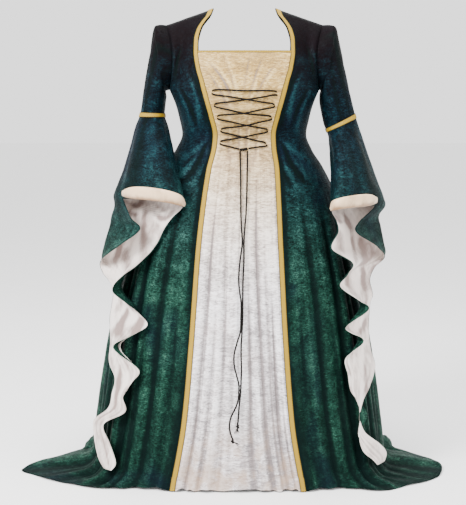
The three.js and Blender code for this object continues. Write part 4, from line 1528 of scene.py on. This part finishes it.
    @staticmethod
    def across_top(panel: Panel, top: float, low: float) -> Edges:
        """The braid's two sides along a panel's top edge."""
        steps = 190
        edges = []
        for i in range(steps + 1):
            place = i / steps
            a, b = panel.on_yoke(place, top), panel.on_yoke(place, low)
            near = [panel.on_yoke(clamp(place + step), top) for step in (-0.01, 0.01)]
            out = (near[1] - near[0]).cross(b - a).normalized()
            edges.append((a, b, out if out.y * (1 if panel.behind else -1) > 0 else -out))
        return edges

    @staticmethod
    def along_seam(panel: Panel, low: Optional[float]) -> Edges:
        """The braid's two sides down a panel's long seam, as far as a yoke share or the hem.

        Args:
            panel: the panel.
            low: the share of the yoke, or None for the hem.

        Returns:
            The two sides, from top to bottom.
        """
        width = panel.first * BRAID_WIDTH / FLAT_EDGE
        lines: list[tuple[Vector, Vector]] = []
        for j in range(150):
            share = j / 150 * (low or 1)
            lines.append((panel.on_yoke(0, share), panel.on_yoke(width, share)))
        if low is None:
            lowest = FLOOR + BEND_HEIGHT
            for j in range(560):
                z = round(lerp(BUST_LEVEL, lowest, j / 560), 3)
                lines.append((panel.on_skirt(0, z), panel.on_skirt(width, z)))
            for j in range(25):
                lines.append((panel.on_floor(0, j / 24), panel.on_floor(width, j / 24)))
        edges = []
        for j, (a, b) in enumerate(lines):
            ahead, past = lines[min(j + 1, len(lines) - 1)], lines[max(j - 1, 0)]
            out = (b - a).cross(ahead[0] - past[0]).normalized()
            if j == 0:
                out = Vector((0.33 * panel.side.value, 0, 0.94))
            facing = out.y * (1 if panel.behind else -1)
            edges.append((a, b, -out if facing < 0 and j else out))
        return edges


@dataclass(frozen=True)
class Ring:
    """An oval ring of a sleeve, from its outermost and innermost points."""

    outer: Spot
    inner: Spot
    front: Optional[Spot] = None
    back: Optional[Spot] = None
    deep: float = 0.0

    def point(self, side: Side, turn: float) -> Vector:
        """A point of the ring, from turn 0 outermost round by the front."""
        outer, inner = self.placed(side, self.outer), self.placed(side, self.inner)
        centre = (outer + inner) / 2
        spot = centre + (outer - centre) * math.cos(turn)
        swing = math.sin(turn)
        if self.deep:
            return spot + Vector((0, -self.deep * swing, 0))
        reach = self.placed(side, self.front if swing > 0 else self.back) - centre
        return spot + reach * abs(swing)

    @staticmethod
    def placed(side: Side, spot: Spot) -> Vector:
        """A table's point on one side of the gown."""
        return Vector((side.value * spot[0], spot[1], spot[2]))


@dataclass(frozen=True)
class Fall:
    """One level of a sleeve's hanging tail: its edges and the folds between them."""

    z: float
    edge: Place
    inner: Place
    sag: float = 0.0
    fold: Optional[Place] = None
    back: Optional[Place] = None

    def line(self, side: Side, steps: int) -> list[Vector]:
        """The level's points from the outer front edge round to the inner edge."""
        a, b = Vector(self.edge), Vector(self.inner)
        run = b - a
        bow = Vector((run.y, -run.x)).normalized() * self.sag
        fold = Vector(self.fold or a + run * 0.33 + bow)
        corners = (a, fold, Vector(self.back or a + run * 0.67 + bow), b)
        return cord_curve([Vector((side.value * p.x, p.y, self.z)) for p in corners], steps)


@dataclass(frozen=True)
class Cut:
    """The size that a sleeve's cloth was cut to, in metres and square metres."""

    upper: tuple[float, float]
    upper_area: float
    bell: tuple[float, float]
    bell_area: float
    cuff: tuple[float, float]


@dataclass
class Sleeve:
    """A fitted upper sleeve with a lined bell, its turned cuff and its long tail."""

    side: Side
    shape: BodyShape
    cut: Cut
    upper: Sequence[Ring]
    bell: Sequence[Ring]
    tail: Sequence[Fall]
    around: int = 16
    fine: int = 5
    upper_steps: int = 8
    bell_steps: int = 7
    clearance: float = 9.0
    allowance: float = 8.0
    allowance_inset: float = 2.5
    velvet: float = 1.3
    satin: float = 0.8
    cuff_cloth: float = 1.2
    flute: float = 4.5
    lining_gap: float = 1.4
    edge_gap: float = 0.7
    hole_shares: tuple[float, ...] = (0, 0.13, 0.26, 0.4, 0.533, 0.557, 0.7, 0.86, 1)
    order: tuple[int, ...] = (2, 1, 0, 15, 14, 13, 12, 11, 10, 9, 8, 7, 6, 5, 4, 3)
    tail_columns: int = 11

    @property
    def ribbon(self) -> int:
        """The number of the tail's last column, where the bell's front edge starts."""
        return (self.tail_columns - 1) * self.fine

    @property
    def mouth(self) -> int:
        """The number of the row at the bell's mouth."""
        return len(self.bell) * self.bell_steps

    def turns(self) -> list[float]:
        """The turns of the ring's columns, in the bell's order."""
        return [TURN * i / self.around for i in self.order]

    def armhole(self) -> list[Vector]:
        """The armhole's points in the bell's order of columns."""
        half = self.around // 2
        points = []
        for i in self.order:
            share = self.hole_shares[i if i <= half else self.around - i]
            spot = self.shape.armhole(share, behind=i > half)
            points.append(Vector((self.side.value * spot.x, spot.y, spot.z)))
        return points

    def upper_rows(self) -> list[Row]:
        """The upper sleeve's grid, from the armhole to the elbow, with its seam allowance first.

        Returns:
            The rows of points.
        """
        rings = [[ring.point(self.side, turn) for turn in self.turns()] for ring in self.upper]
        across = [spline(ring, self.fine, closed=True) for ring in (self.armhole(), *rings)]
        rows = self.down(across, self.upper_steps)
        middle = ring_middle(rows[0])
        turned = []
        for first, second in zip(rows[0], rows[1]):
            beyond = first - (second - first).normalized() * self.allowance
            turned.append(beyond + (middle - first).normalized() * self.allowance_inset)
        return [turned, *rows]

    def bell_rows(self) -> list[Row]:
        """The bell's grid, from the elbow to the tail's tip.

        Returns:
            The rows of points.
        """
        rings = [self.upper[-1], *self.bell]
        across: list[Row] = []
        for j, ring in enumerate(rings):
            points = [ring.point(self.side, turn) for turn in self.turns()]
            if j:
                points = [self.shape.off_skirt(p, self.clearance) for p in points]
            across.append(spline(points, self.fine, closed=True))
        for fall in self.tail:
            line = self.evened(fall.line(self.side, 24), self.ribbon)
            points = [self.shape.off_skirt(p, self.clearance) for p in line]
            across.append(points + [None] * (len(across[0]) - len(points)))
        return self.down(across, self.bell_steps)

    @staticmethod
    def evened(line: Sequence[Vector], intervals: int) -> list[Vector]:
        """The points of a three-part curve at even shares of its parameter."""
        last = len(line) - 1
        points = []
        for i in range(intervals + 1):
            at = i / intervals * last
            k = min(int(at), last - 1)
            points.append(line[k].lerp(line[k + 1], at - k))
        return points

    @staticmethod
    def down(across: Sequence[Row], steps: int) -> list[Row]:
        """Joins level rows by smooth curves running down each column."""
        columns = []
        for i in range(len(across[0])):
            line = [row[i] for row in across if row[i] is not None]
            columns.append(spline(line, steps))
        height = (len(across) - 1) * steps + 1
        return [[column[j] if j < len(column) else None for column in columns]
                for j in range(height)]

    def outward(self, rows: Sequence[Row]) -> list[Row]:
        """The normals of a sleeve's grid, turned away from its inside."""
        normals = grid_normals(rows, closed=True)
        sign = 1 if (rows[0][0] - ring_middle(rows[0])).dot(normals[0][0]) > 0 else -1
        return [[None if n is None else n * sign for n in line] for line in normals]

    def crumpled(self, rows: list[Row], depth: float, free: bool) -> list[Row]:
        """The rows with the dents and slack folds of crushed velvet."""
        normals = self.outward(rows)
        for j, (line, ups) in enumerate(zip(rows, normals)):
            fade = smooth(j / 9) * (1 if free else smooth((len(rows) - 1 - j) / 9))
            for i in range(len(line) - 1):
                if line[i] is not None:
                    line[i] += ups[i] * dent(line[i], 34, 58, 2.4) * depth * fade
            close_ring(line)
        return rows

    def build(self, wardrobe: Wardrobe) -> None:
        """Makes the sleeve's pieces.

        Args:
            wardrobe: the finishes.
        """
        tag = self.side.label
        upper = self.crumpled(self.upper_rows(), 1.6, free=False)
        bell = self.crumpled(self.fluted(self.bell_rows()), 1.1, free=True)
        arm = self.cloth(f"upper_sleeve_{tag}", upper, self.velvet, wardrobe.green, Slot.GREEN,
                         f"upper_sleeve_{tag}", f"sleeve_head_{tag}")
        bell_piece = self.cloth(f"bell_sleeve_{tag}", bell, self.velvet, wardrobe.green,
                                Slot.GREEN, f"bell_sleeve_{tag}", f"sleeve_tail_{tag}")
        lining = self.cloth(f"bell_lining_{tag}", self.draped(bell), self.satin,
                            wardrobe.satin, Slot.SATIN)
        cuff = self.cuff(bell, wardrobe.cuff)
        braid = self.elbow_braid(upper, bell, wardrobe.gold)

    def cloth(self, name: str, rows: Sequence[Row], thickness: float,
              material: bpy.types.Material, slot: Slot, *nodes: str) -> bpy.types.Object:
        """Makes one layer of the sleeve, which stands for the nodes or the one of its name."""
        middle = ring_middle(rows[0]) * MM
        top = rows[0][0].z * MM - 0.03
        piece = Cloth.sheet(name, rows, closed=True, tones=self.tones(rows, slot),
                            heart=lambda p: Vector((middle.x, middle.y, p.z)) if p.z > top else p)
        Cloth.thicken(piece, thickness)
        return Cloth.dress(piece, material, slot, *(nodes or (name,)))

    def tones(self, rows: Sequence[Row], slot: Slot) -> list[list[float]]:
        """Painted light and shade of a sleeve's layer: ridge and valley tones in streaks that run
        down its length.

        Args:
            rows: the layer's rows.
            slot: the slot of its finish.

        Returns:
            A tone for each point.
        """
        across, down, depth = (4.0, 0.035, 0.9) if slot is Slot.SATIN else (6.0, 0.02, 1.0)
        around = TURN / (len(rows[0]) - 1)
        found = []
        for j in range(len(rows)):
            line = []
            for i in range(len(rows[0])):
                turn = around * i
                seat = Vector((math.cos(turn) * across / 2, math.sin(turn) * across / 2, j * down))
                streak = noise.noise(seat + Vector((self.side.value * 5.0, 0, 0)))
                tone = depth * (streak + 0.35 * noise.noise(seat * 2.7))
                # Painted shade along the lining's drawn folds.
                if slot is Slot.SATIN:
                    tone += self.lining_fold(rows[j][i])
                line.append(tone)
            found.append(line)
        return found

    def fluted(self, rows: list[Row]) -> list[Row]:
        """The bell's grid with soft flutes that open out from the elbow to the mouth.

        Args:
            rows: the bell's rows, which change.

        Returns:
            The same rows.
        """
        normals = self.outward(rows)
        full, easing = 14, 18
        for j, (line, ups) in enumerate(zip(rows, normals)):
            eased = smooth((j - easing) / (self.mouth - easing))
            depth = self.flute * smooth(j / full) * (1 - eased)
            for i in range(len(line) - 1):
                if line[i] is not None and depth > 0:
                    turn = TURN * i / (len(line) - 1)
                    flute = math.cos(5 * turn + 0.8) + 0.5 * math.cos(8 * turn + 2.0)
                    line[i] += ups[i] * depth * flute * 0.7
            close_ring(line)
        return rows

    def draped(self, bell: Sequence[Row]) -> list[Row]:
        """The lining's grid: inside the bell, with slack folds that hang into its hollow.

        Args:
            bell: the bell's rows.

        Returns:
            The lining's rows.
        """
        normals = self.outward(bell)
        rows: list[Row] = []
        for j, (line, ups) in enumerate(zip(bell, normals)):
            layer: Row = []
            start = smooth(j / 20)
            for i in range(len(line)):
                if line[i] is None:
                    layer.append(None)
                    continue
                point, up = self.trimmed(line, ups, i, j)
                inset = smooth(min(i, abs(self.ribbon - i)) / 12)
                slack = max(0.0, dent(point, 26, 95, 2.6, 0.35))
                room = lerp(9.0, 1.5, smooth((j - self.mouth - 3) / 24)) * slack
                above = smooth((2 * self.mouth - j) / 20)
                room += 3.0 * max(0.0, self.lining_fold(point)) * above
                layer.append(point - up * (self.lining_gap + room * inset * start))
            rows.append(layer)
        return rows

    def trimmed(self, line: Row, ups: Row, column: int, row: int) -> tuple[Vector, Vector]:
        """A place on a row and its normal, with the tail's two edges trimmed back.

        Args:
            line: the row.
            ups: its normals.
            column: the column.
            row: the row's number.

        Returns:
            The point and its normal.
        """
        begun = smooth((row - self.mouth) / 6)
        if begun <= 0 or column > self.ribbon:
            return line[column], ups[column]
        z = line[column].z
        trims = LINING_TRIMS[self.side]
        extra = sum(by * math.exp(-(((z - at) / tall) ** 2)) for at, tall, by in trims)
        low, high = self.edge_gap * begun, (self.edge_gap + extra) * begun
        at = low + (self.ribbon - low - high) * column / self.ribbon
        k = min(int(at), self.ribbon - 1)
        return line[k].lerp(line[k + 1], at - k), ups[k].lerp(ups[k + 1], at - k).normalized()

    def lining_fold(self, spot: Optional[Vector]) -> float:
        """How far the lining's drawn folds stand out at a place."""
        if spot is None:
            return 0.0
        return sum(crease.height(spot.x, spot.z) for crease in LINING_FOLDS[self.side])

    def cuff(self, bell: Sequence[Row], satin: bpy.types.Material) -> bpy.types.Object:
        """The satin band that is turned up over the bell's front edge.

        Args:
            bell: the bell's rows.
            satin: the band's finish.

        Returns:
            The band.
        """
        start = self.ribbon
        top, low = self.mouth - self.bell_steps, self.mouth
        normals = self.outward(bell)
        height = 10
        last = len(bell[0]) - 1 - start
        rows: list[Row] = []
        tones: list[list[float]] = []
        for j in range(height + 1):
            share = j / height
            line: Row = []
            seats = [Vector((i / 7, share, self.side.value * 4.0)) for i in range(last + 1)]
            # Painted shade: the band darkens towards its lower edge, under the roll.
            tones.append([0.5 - 1.7 * share**3 + 1.1 * noise.noise(seat) for seat in seats])
            for i in range(last + 1):
                end = 1 - abs(2 * i / last - 1) ** 6
                level = lerp(top, low, 0.5 + (share - 0.5) * lerp(0.45, 1, end))
                k = min(int(level), low - 1)
                spot = bell[k][start + i].lerp(bell[k + 1][start + i], level - k)
                out = normals[k][start + i]
                puff = 2.4 + 2.8 * math.sin(math.pi * share) * end
                crease = 0.5 * math.sin(i * 0.55 + 2.2 * math.sin(i * 0.13))
                line.append(spot + out * (puff + crease * math.sin(math.pi * share)))
            rows.append(line)
        middle = ring_middle(bell[top]) * MM
        piece = Cloth.sheet(f"cuff_{self.side.label}", rows, heart=lambda p: middle, tones=tones)
        Cloth.thicken(piece, self.cuff_cloth)
        return Cloth.dress(piece, satin, Slot.SATIN, f"cuff_{self.side.label}")

    def elbow_braid(self, upper: Sequence[Row], bell: Sequence[Row],
                    gold: bpy.types.Material) -> bpy.types.Object:
        """The gold braid that covers the seam at the elbow.

        Args:
            upper: the upper sleeve's rows.
            bell: the bell's rows.
            gold: the braid's finish.

        Returns:
            The braid.
        """
        rings = (bell[0], upper[-3], bell[3])
        seam, above, below = (spline(list(ring[:-1]), 6, closed=True) for ring in rings)
        middle = ring_middle(seam)
        edges = []
        for p, up, down in zip(seam, above, below):
            a = p + (up - p).normalized() * BRAID_WIDTH / 2
            b = p + (down - p).normalized() * BRAID_WIDTH / 2
            out = p - middle
            out -= (b - a).normalized() * out.dot((b - a).normalized())
            edges.append((a, b, out.normalized()))
        braid = Braid(f"elbow_braid_{self.side.label}", lift=1.6)
        return braid.build(edges, gold, closed=True)


# rows: height, how far up and down it reaches, columns given way
LINING_TRIMS = {
    Side.RIGHT: ((-902, 17, 23), (-1046, 33, 23)),
    Side.LEFT: (),
}

# The lining's drawn folds: each paints shade along its line and draws the lining in beside it.
LINING_FOLDS = {
    Side.RIGHT: (
        Crease((-306, -600), (-314, -785), bow=4, wide=11, deep=-1.5),
        Crease((-294, -607), (-206, -607), bow=42, wide=10, deep=-1.2),
        Crease((-284, -602), (-222, -600), bow=20, wide=9, deep=-0.8),
        Crease((-388, -596), (-312, -606), bow=16, wide=9, deep=-1.2),
        Crease((-378, -606), (-316, -634), bow=22, wide=9, deep=-0.9),
        Crease((-394, -722), (-405, -800), bow=-5, wide=13, deep=-1.4),
        Crease((-372, -742), (-352, -830), bow=6, wide=12, deep=-0.8),
        Crease((-352, -915), (-410, -1022), bow=-4, wide=11, deep=-1.8),
        Crease((-382, -902), (-398, -1010), bow=3, wide=17, deep=-1.3),
        Crease((-298, -942), (-348, -1000), bow=3, wide=14, deep=-1.4),
        Crease((-372, -1080), (-392, -1240), bow=4, wide=10, deep=-1.0),
    ),
    Side.LEFT: (
        Crease((304, -622), (346, -700), bow=6, wide=9, deep=-1.4),
        Crease((330, -688), (344, -806), bow=-4, wide=11, deep=-1.6),
        Crease((270, -632), (326, -664), bow=8, wide=9, deep=-1.1),
        Crease((283, -668), (292, -764), bow=-4, wide=16, deep=-1.0),
        Crease((362, -712), (388, -806), bow=5, wide=15, deep=-1.2),
        Crease((360, -780), (382, -884), bow=-4, wide=11, deep=-0.9),
        Crease((314, -786), (326, -868), bow=4, wide=11, deep=-0.8),
        Crease((392, -950), (346, -1010), bow=-4, wide=10, deep=-1.1),
        Crease((372, -1060), (384, -1230), bow=4, wide=10, deep=-0.9),
    ),
}

UPPER_SLEEVES = {
    Side.RIGHT: (
        Ring((272, 0, -52), (258, 0, -261), deep=68),
        Ring((287, 0, -66), (249, 0, -275), deep=62),
        Ring((300, 0, -140), (250, 0, -288), deep=58),
        Ring((313, 0, -215), (252, 0, -303), deep=55),
        Ring((327, 0, -300), (254, 0, -325), deep=52),
        Ring((332, 0, -334), (254, 0, -337), deep=50),
    ),
    Side.LEFT: (
        Ring((276, 0, -53), (258, 0, -261), deep=68),
        Ring((292, 0, -67), (240, 0, -274), deep=62),
        Ring((306, 0, -130), (240, -2, -300), deep=58),
        Ring((321, 0, -200), (245, -4, -328), deep=55),
        Ring((341, 0, -285), (253, -7, -362), deep=52),
        Ring((354, 0, -337), (262, -10, -385), deep=50),
    ),
}

BELLS = {
    Side.RIGHT: (
        Ring((349, -8, -376), (242, -40, -372), (300, -85, -374), (292, 25, -374)),
        Ring((365, -25, -437), (228, -95, -428), (300, -140, -430), (292, 0, -440)),
        Ring((386, -45, -510), (203, -155, -515), (298, -195, -500), (294, -50, -520)),
        Ring((412, -62, -579), (182, -196, -590), (290, -224, -549), (298, -88, -580)),
        Ring((413, -62, -604), (187, -195, -614), (292, -220, -588), (300, -96, -612)),
    ),
    Side.LEFT: (
        Ring((374, -8, -395), (268, -45, -410), (313, -92, -400), (320, 24, -400)),
        Ring((392, -25, -450), (270, -105, -455), (325, -145, -450), (327, -5, -455)),
        Ring((414, -45, -516), (270, -150, -525), (335, -198, -512), (338, -45, -525)),
        Ring((440, -66, -588), (264, -195, -599), (340, -230, -571), (345, -85, -595)),
        Ring((446, -62, -622), (267, -197, -626), (335, -222, -609), (350, -95, -627)),
    ),
}

TAILS = {
    Side.RIGHT: (
        Fall(-645, (345, -202), (215, -195), fold=(418, -65), back=(315, -110)),
        Fall(-678, (317, -225), (240, -195), fold=(425, -70), back=(330, -112)),
        Fall(-735, (390, -180), (270, -200), fold=(441, -72), back=(352, -110)),
        Fall(-790, (454, -98), (324, -206), fold=(450, -58), back=(388, -104)),
        Fall(-830, (450, -80), (380, -214), sag=34),
        Fall(-866, (426, -72), (402, -224), sag=28),
        Fall(-900, (416, -92), (362, -236), sag=28),
        Fall(-930, (419, -105), (320, -245), sag=22),
        Fall(-965, (424, -115), (291, -250), sag=20),
        Fall(-1000, (422, -122), (337, -250), sag=24),
        Fall(-1040, (417, -130), (401, -240), sag=26),
        Fall(-1095, (419, -134), (316, -258), sag=16),
        Fall(-1135, (397, -152), (337, -260), sag=16),
        Fall(-1181, (405, -170), (368, -260), sag=12),
        Fall(-1225, (416, -194), (358, -263), sag=8),
        Fall(-1278, (468, -200), (430, -255), sag=8),
        Fall(-1325, (466, -206), (407, -263), sag=6),
        Fall(-1375, (449, -225), (386, -265), sag=5),
        Fall(-1402, (426, -246), (400, -258), sag=2),
    ),
    Side.LEFT: (
        Fall(-655, (352, -204), (278, -216), fold=(426, -64), back=(352, -100)),
        Fall(-684, (340, -225), (282, -225), fold=(432, -68), back=(354, -106)),
        Fall(-736, (412, -150), (262, -225), fold=(442, -72), back=(366, -110)),
        Fall(-778, (445, -96), (326, -235), fold=(444, -58), back=(384, -108)),
        Fall(-812, (415, -82), (314, -238), sag=26),
        Fall(-850, (399, -90), (290, -240), sag=24),
        Fall(-895, (406, -110), (352, -240), sag=26),
        Fall(-921, (397, -120), (378, -240), sag=26),
        Fall(-975, (392, -138), (306, -258), sag=20),
        Fall(-1015, (390, -148), (364, -250), sag=22),
        Fall(-1065, (397, -150), (308, -264), sag=18),
        Fall(-1115, (411, -155), (314, -265), sag=16),
        Fall(-1165, (388, -185), (324, -265), sag=14),
        Fall(-1200, (364, -205), (352, -261), sag=10),
        Fall(-1245, (352, -214), (378, -254), sag=6),
        Fall(-1290, (368, -228), (350, -270), sag=8),
        Fall(-1340, (420, -214), (358, -270), sag=6),
        Fall(-1376, (444, -210), (392, -258), sag=4),
        Fall(-1396, (436, -226), (408, -242), sag=2),
    ),
}

CUTS = {
    Side.RIGHT: Cut(upper=(0.42, 0.29), upper_area=0.076, bell=(0.58, 1.15), bell_area=0.3,
                    cuff=(0.29, 0.035)),
    Side.LEFT: Cut(upper=(0.42, 0.34), upper_area=0.093, bell=(0.58, 1.1), bell_area=0.275,
                   cuff=(0.26, 0.035)),
}


@dataclass
class Lacing:
    """The criss-cross lacing over the bodice, its tie and its two hanging ends."""

    shape: BodyShape
    radius: float = 2.6
    clear: float = 5.4
    over: float = 5.9
    end_clear: float = 5.7
    laces: tuple[tuple[str, tuple[Place, ...]], ...] = (
        ("a", ((96, -261), (-96, -258), (-98, -269), (8, -286), (90, -300), (92, -308),
               (-2, -328), (-80, -335), (-81, -345), (8, -365), (69, -377), (71, -385),
               (-5, -401), (-71, -413), (-74, -422), (-16, -437))),
        ("b", ((98, -272), (8, -286), (-89, -299), (-91, -307), (-2, -328), (80, -337),
               (84, -346), (8, -365), (-68, -375), (-72, -384), (-5, -401), (64, -418),
               (69, -427), (13, -435))),
    )
    tie_at: Place = (-1.5, -438)
    tie_size: Spot = (13.5, 5, 7)
    tie_gap: float = 0.4
    tie_turns: float = 1.75
    tie_phase: float = 0.4
    tie_slant: float = 1.6
    ends: tuple[tuple[Side, tuple[Place, ...]], ...] = (
        (Side.RIGHT, ((-13, -443.8), (-11, -515), (-10, -625), (-8, -672), (-5.7, -716),
                      (-12, -766), (-16, -824), (-13, -860), (-9, -889), (-9.3, -935),
                      (-11.3, -976), (-19, -1002), (-26.5, -1028), (-30, -1050), (-28, -1078),
                      (-20.5, -1107), (-15.5, -1127), (-15.3, -1150), (-17.1, -1173),
                      (-25, -1196), (-39, -1225), (-43, -1251), (-39, -1272), (-33.5, -1286))),
        (Side.LEFT, ((9.7, -443.8), (9, -521), (6, -625), (2, -672), (-0.5, -716),
                     (-0.5, -766), (-3, -824), (-3.9, -889), (-4.1, -935), (-6.1, -976),
                     (-8.6, -1034), (-7.5, -1086), (-8.8, -1127), (-9.9, -1150), (-12, -1173),
                     (-15, -1202), (-17, -1231), (-18.5, -1243))),
    )
    knot_wide: float = 5.5
    knot_tall: float = 6.5
    knot_turns: float = 1.6
    eyelet_depth: float = 5.0
    eyelets_from: float = 50.0
    middle_within: float = 20.0
    strand_relief: float = 0.1
    strand_twist: float = 0.08
    fray_count: int = 9
    fray_length: float = 19.0
    fray_radius: float = 0.55
    frays: tuple[tuple[Side, Place, float], ...] = (
        (Side.RIGHT, (0.88, -0.47), 0.16), (Side.LEFT, (-0.12, -0.99), 0.42),
    )

    def rope(self, name: str, path: Sequence[Vector]) -> bpy.types.Object:
        """Makes a stretch of the three-strand cord along a path."""
        return Cloth.tube(name, path, self.radius, relief=self.strand_relief,
                          twist=self.strand_twist)

    def on_front(self, spot: Place, clear: float) -> Vector:
        """A place of the front, clear of the ivory panel by a distance."""
        x, z = spot
        return Vector((x, self.shape.front_depth(x, z, clear), z))

    def build(self, cord: bpy.types.Material) -> None:
        for side, spots in self.ends:
            self.hanging_end(side, spots, cord)
        for tag, spots in self.laces:
            piece = self.rope(f"lace_{tag}", cord_curve(self.lace_route(tag, spots), 9))
            Cloth.dress(piece, cord, Slot.CORD, f"lace_{tag}")
        self.tie(cord)

    def lace_route(self, tag: str, spots: Sequence[Place]) -> list[Vector]:
        """A lace's route, which goes through an eyelet at each side and round the front.

        Args:
            tag: the lace's letter.
            spots: the places it passes, across and in height.

        Returns:
            The route's points.
        """
        first = spots[0]
        route = [self.on_front((first[0] + 2, first[1] - 4), -self.eyelet_depth)]
        for i, spot in enumerate(spots):
            crossing = abs(spot[0]) < self.middle_within and i < len(spots) - 1
            over = self.over if tag == "a" and crossing else 0
            at_eyelet = abs(spot[0]) > self.eyelets_from
            clear = self.radius * 0.7 if at_eyelet else self.clear + over
            route.append(self.on_front(spot, clear))
            if i + 1 == len(spots):
                break
            ahead = spots[i + 1]
            middle = ((spot[0] + ahead[0]) / 2, (spot[1] + ahead[1]) / 2)
            if abs(ahead[0] - spot[0]) > self.eyelets_from:
                route.append(self.on_front(middle, self.clear))
            elif at_eyelet:
                route.append(self.on_front(middle, -self.eyelet_depth))
        return route

    def end_route(self, spots: Sequence[Place]) -> list[Vector]:
        """A hanging end's route, from the tie down to its knot."""
        route = [self.on_front(spot, self.end_clear) for spot in spots]
        route[0].y = self.on_front(self.tie_at, self.tie_size[1] + self.tie_gap).y
        return route

    def hanging_end(self, side: Side, spots: Sequence[Place], cord: bpy.types.Material) -> None:
        """Makes one hanging end with its knot.

        Args:
            side: the side it hangs on.
            spots: the places it passes.
            cord: the finish.
        """
        path = cord_curve(self.end_route(spots), 16)
        piece = self.rope(f"cord_end_{side.label}", path)
        Cloth.dress(piece, cord, Slot.CORD, f"cord_end_{side.label}")
        knot = self.knot(side, path[-1], cord)
        length = sum((b - a).length for a, b in zip(path, path[1:])) * MM
        tuple(path[0] * MM)
        [tuple(p * MM) for p in path]

    def knot(self, side: Side, end: Vector, cord: bpy.types.Material) -> bpy.types.Object:
        """Makes the knot below a cord's end, with its frayed strands.

        Args:
            side: the side it hangs on.
            end: the cord's end.
            cord: the finish.

        Returns:
            The knot.
        """
        heart = end + Vector((0, 0, -self.knot_tall - 0.5))
        steps = 90
        reach = self.knot_wide - self.radius
        path = [end + Vector((0, 0, 1.0))]
        for k in range(steps + 1):
            turn = k / steps * TURN * self.knot_turns
            path.append(heart + Vector((
                reach * math.sin(turn) * (0.7 + 0.3 * math.cos(1.5 * turn)),
                reach * math.cos(turn) * 0.8,
                (self.knot_tall - self.radius) * (1 - 2 * k / steps) * 0.9 + math.sin(2 * turn),
            )))
        piece = self.rope(f"cord_knot_{side.label}", path)
        strands = []
        way, fan = next((way, fan) for owner, way, fan in self.frays if owner is side)
        along = Vector((way[0], 0, way[1]))
        aside = Vector((-way[1], 0, way[0]))
        for k in range(self.fray_count):
            swing = fan * (2 * k / (self.fray_count - 1) - 1)
            length = self.fray_length + 4 * math.sin(2.3 * k)
            strand = [
                heart + along * length * t + aside * swing * length * t**1.5
                + Vector((0, -1.2 - 0.5 * math.sin(1.7 * k), 0.9 * math.sin(5 * t + k)))
                for t in (step / 12 for step in range(13))
            ]
            strands.append(Cloth.tube(f"strand_{k}", strand, self.fray_radius, around=6))
        Cloth.join(piece, strands)
        Cloth.dress(piece, cord, Slot.CORD, f"cord_knot_{side.label}")
        return piece

    def tie(self, cord: bpy.types.Material) -> None:
        """Makes the tie at the foot of the lacing: two strands wound into a slanting bar.

        Args:
            cord: the finish.
        """
        wide, deep, tall = self.tie_size
        centre = self.on_front(self.tie_at, deep + self.tie_gap)
        steps = 200
        path = []
        for k in range(steps + 1):
            share = 2 * k / steps - 1
            turn = TURN * self.tie_turns * share + self.tie_phase
            path.append(centre + Vector((
                (wide - self.radius) * share,
                -(deep - self.radius) * math.cos(turn) * 0.9,
                (tall - self.radius) * 0.55 * math.sin(turn) + self.tie_slant * share,
            )))
        Cloth.dress(self.rope("lace_tie", path), cord, Slot.CORD, "lace_tie")


@dataclass
class Studio:
    """The camera that the photo was taken with, soft lights and a plain pale floor."""

    place: Spot = (0.0, -3.6, -0.3)
    pitch: float = 7.55
    yaw: float = 0.573
    lens: float = 79.8
    sensor: float = 36.0
    sky: float = 1.9
    floor_size: float = 30.0
    lamps_aim: Spot = (0.0, 0.0, -0.7)
    lamps: tuple[tuple[str, Spot, float, float], ...] = (
        # name, place, size, power
        ("key_light", (-2.3, -2.2, 1.7), 1.2, 300),
        ("fill_light", (2.8, -2.2, 0.4), 2.0, 60),
        ("top_light", (0.2, -0.2, 2.4), 1.6, 110),
    )

    def shoot(self) -> None:
        """Makes the camera."""
        camera = bpy.data.cameras.new("photo_camera")
        camera.lens = self.lens
        camera.sensor_width = self.sensor
        piece = bpy.data.objects.new("photo_camera", camera)
        piece.location = self.place
        piece.rotation_euler = (math.radians(90 - self.pitch), 0, math.radians(self.yaw))
        bpy.context.scene.collection.objects.link(piece)
        bpy.context.scene.camera = piece

    def light(self) -> None:
        """Makes the lamps and the white surroundings."""
        for name, place, size, power in self.lamps:
            lamp = bpy.data.lights.new(name, "AREA")
            lamp.size, lamp.energy = size, power
            piece = bpy.data.objects.new(name, lamp)
            piece.location = place
            aim = Vector(self.lamps_aim) - Vector(place)
            piece.rotation_euler = aim.to_track_quat("-Z", "Y").to_euler()
            bpy.context.scene.collection.objects.link(piece)
        world = bpy.data.worlds.new("studio")
        bpy.context.scene.world = world
        world.use_nodes = True
        sky = world.node_tree.nodes["Background"]
        sky.inputs["Color"].default_value = (1, 1, 1, 1)
        sky.inputs["Strength"].default_value = self.sky

    def floor(self) -> None:
        """Makes the floor."""
        mesh = bmesh.new()
        bmesh.ops.create_grid(mesh, x_segments=1, y_segments=1, size=self.floor_size)
        for vertex in mesh.verts:
            vertex.co.z = FLOOR * MM - FLOOR_GAP
        piece = Cloth.add("studio_floor", mesh)
        piece.data.materials.append(StudioFloor().build())


def main() -> None:
    """Builds the gown in order."""
    logging.basicConfig(level=logging.INFO, format="%(message)s")
    studio = Studio()
    studio.shoot()
    shape = BodyShape()
    wardrobe = Wardrobe()
    Lacing(shape).build(wardrobe.cord)
    GownBody(shape).build(wardrobe)
    for side in Side:
        sleeve = Sleeve(side, shape, CUTS[side], UPPER_SLEEVES[side], BELLS[side], TAILS[side])
        sleeve.build(wardrobe)
    studio.floor()
    studio.light()


if __name__ == "__main__":
    main()
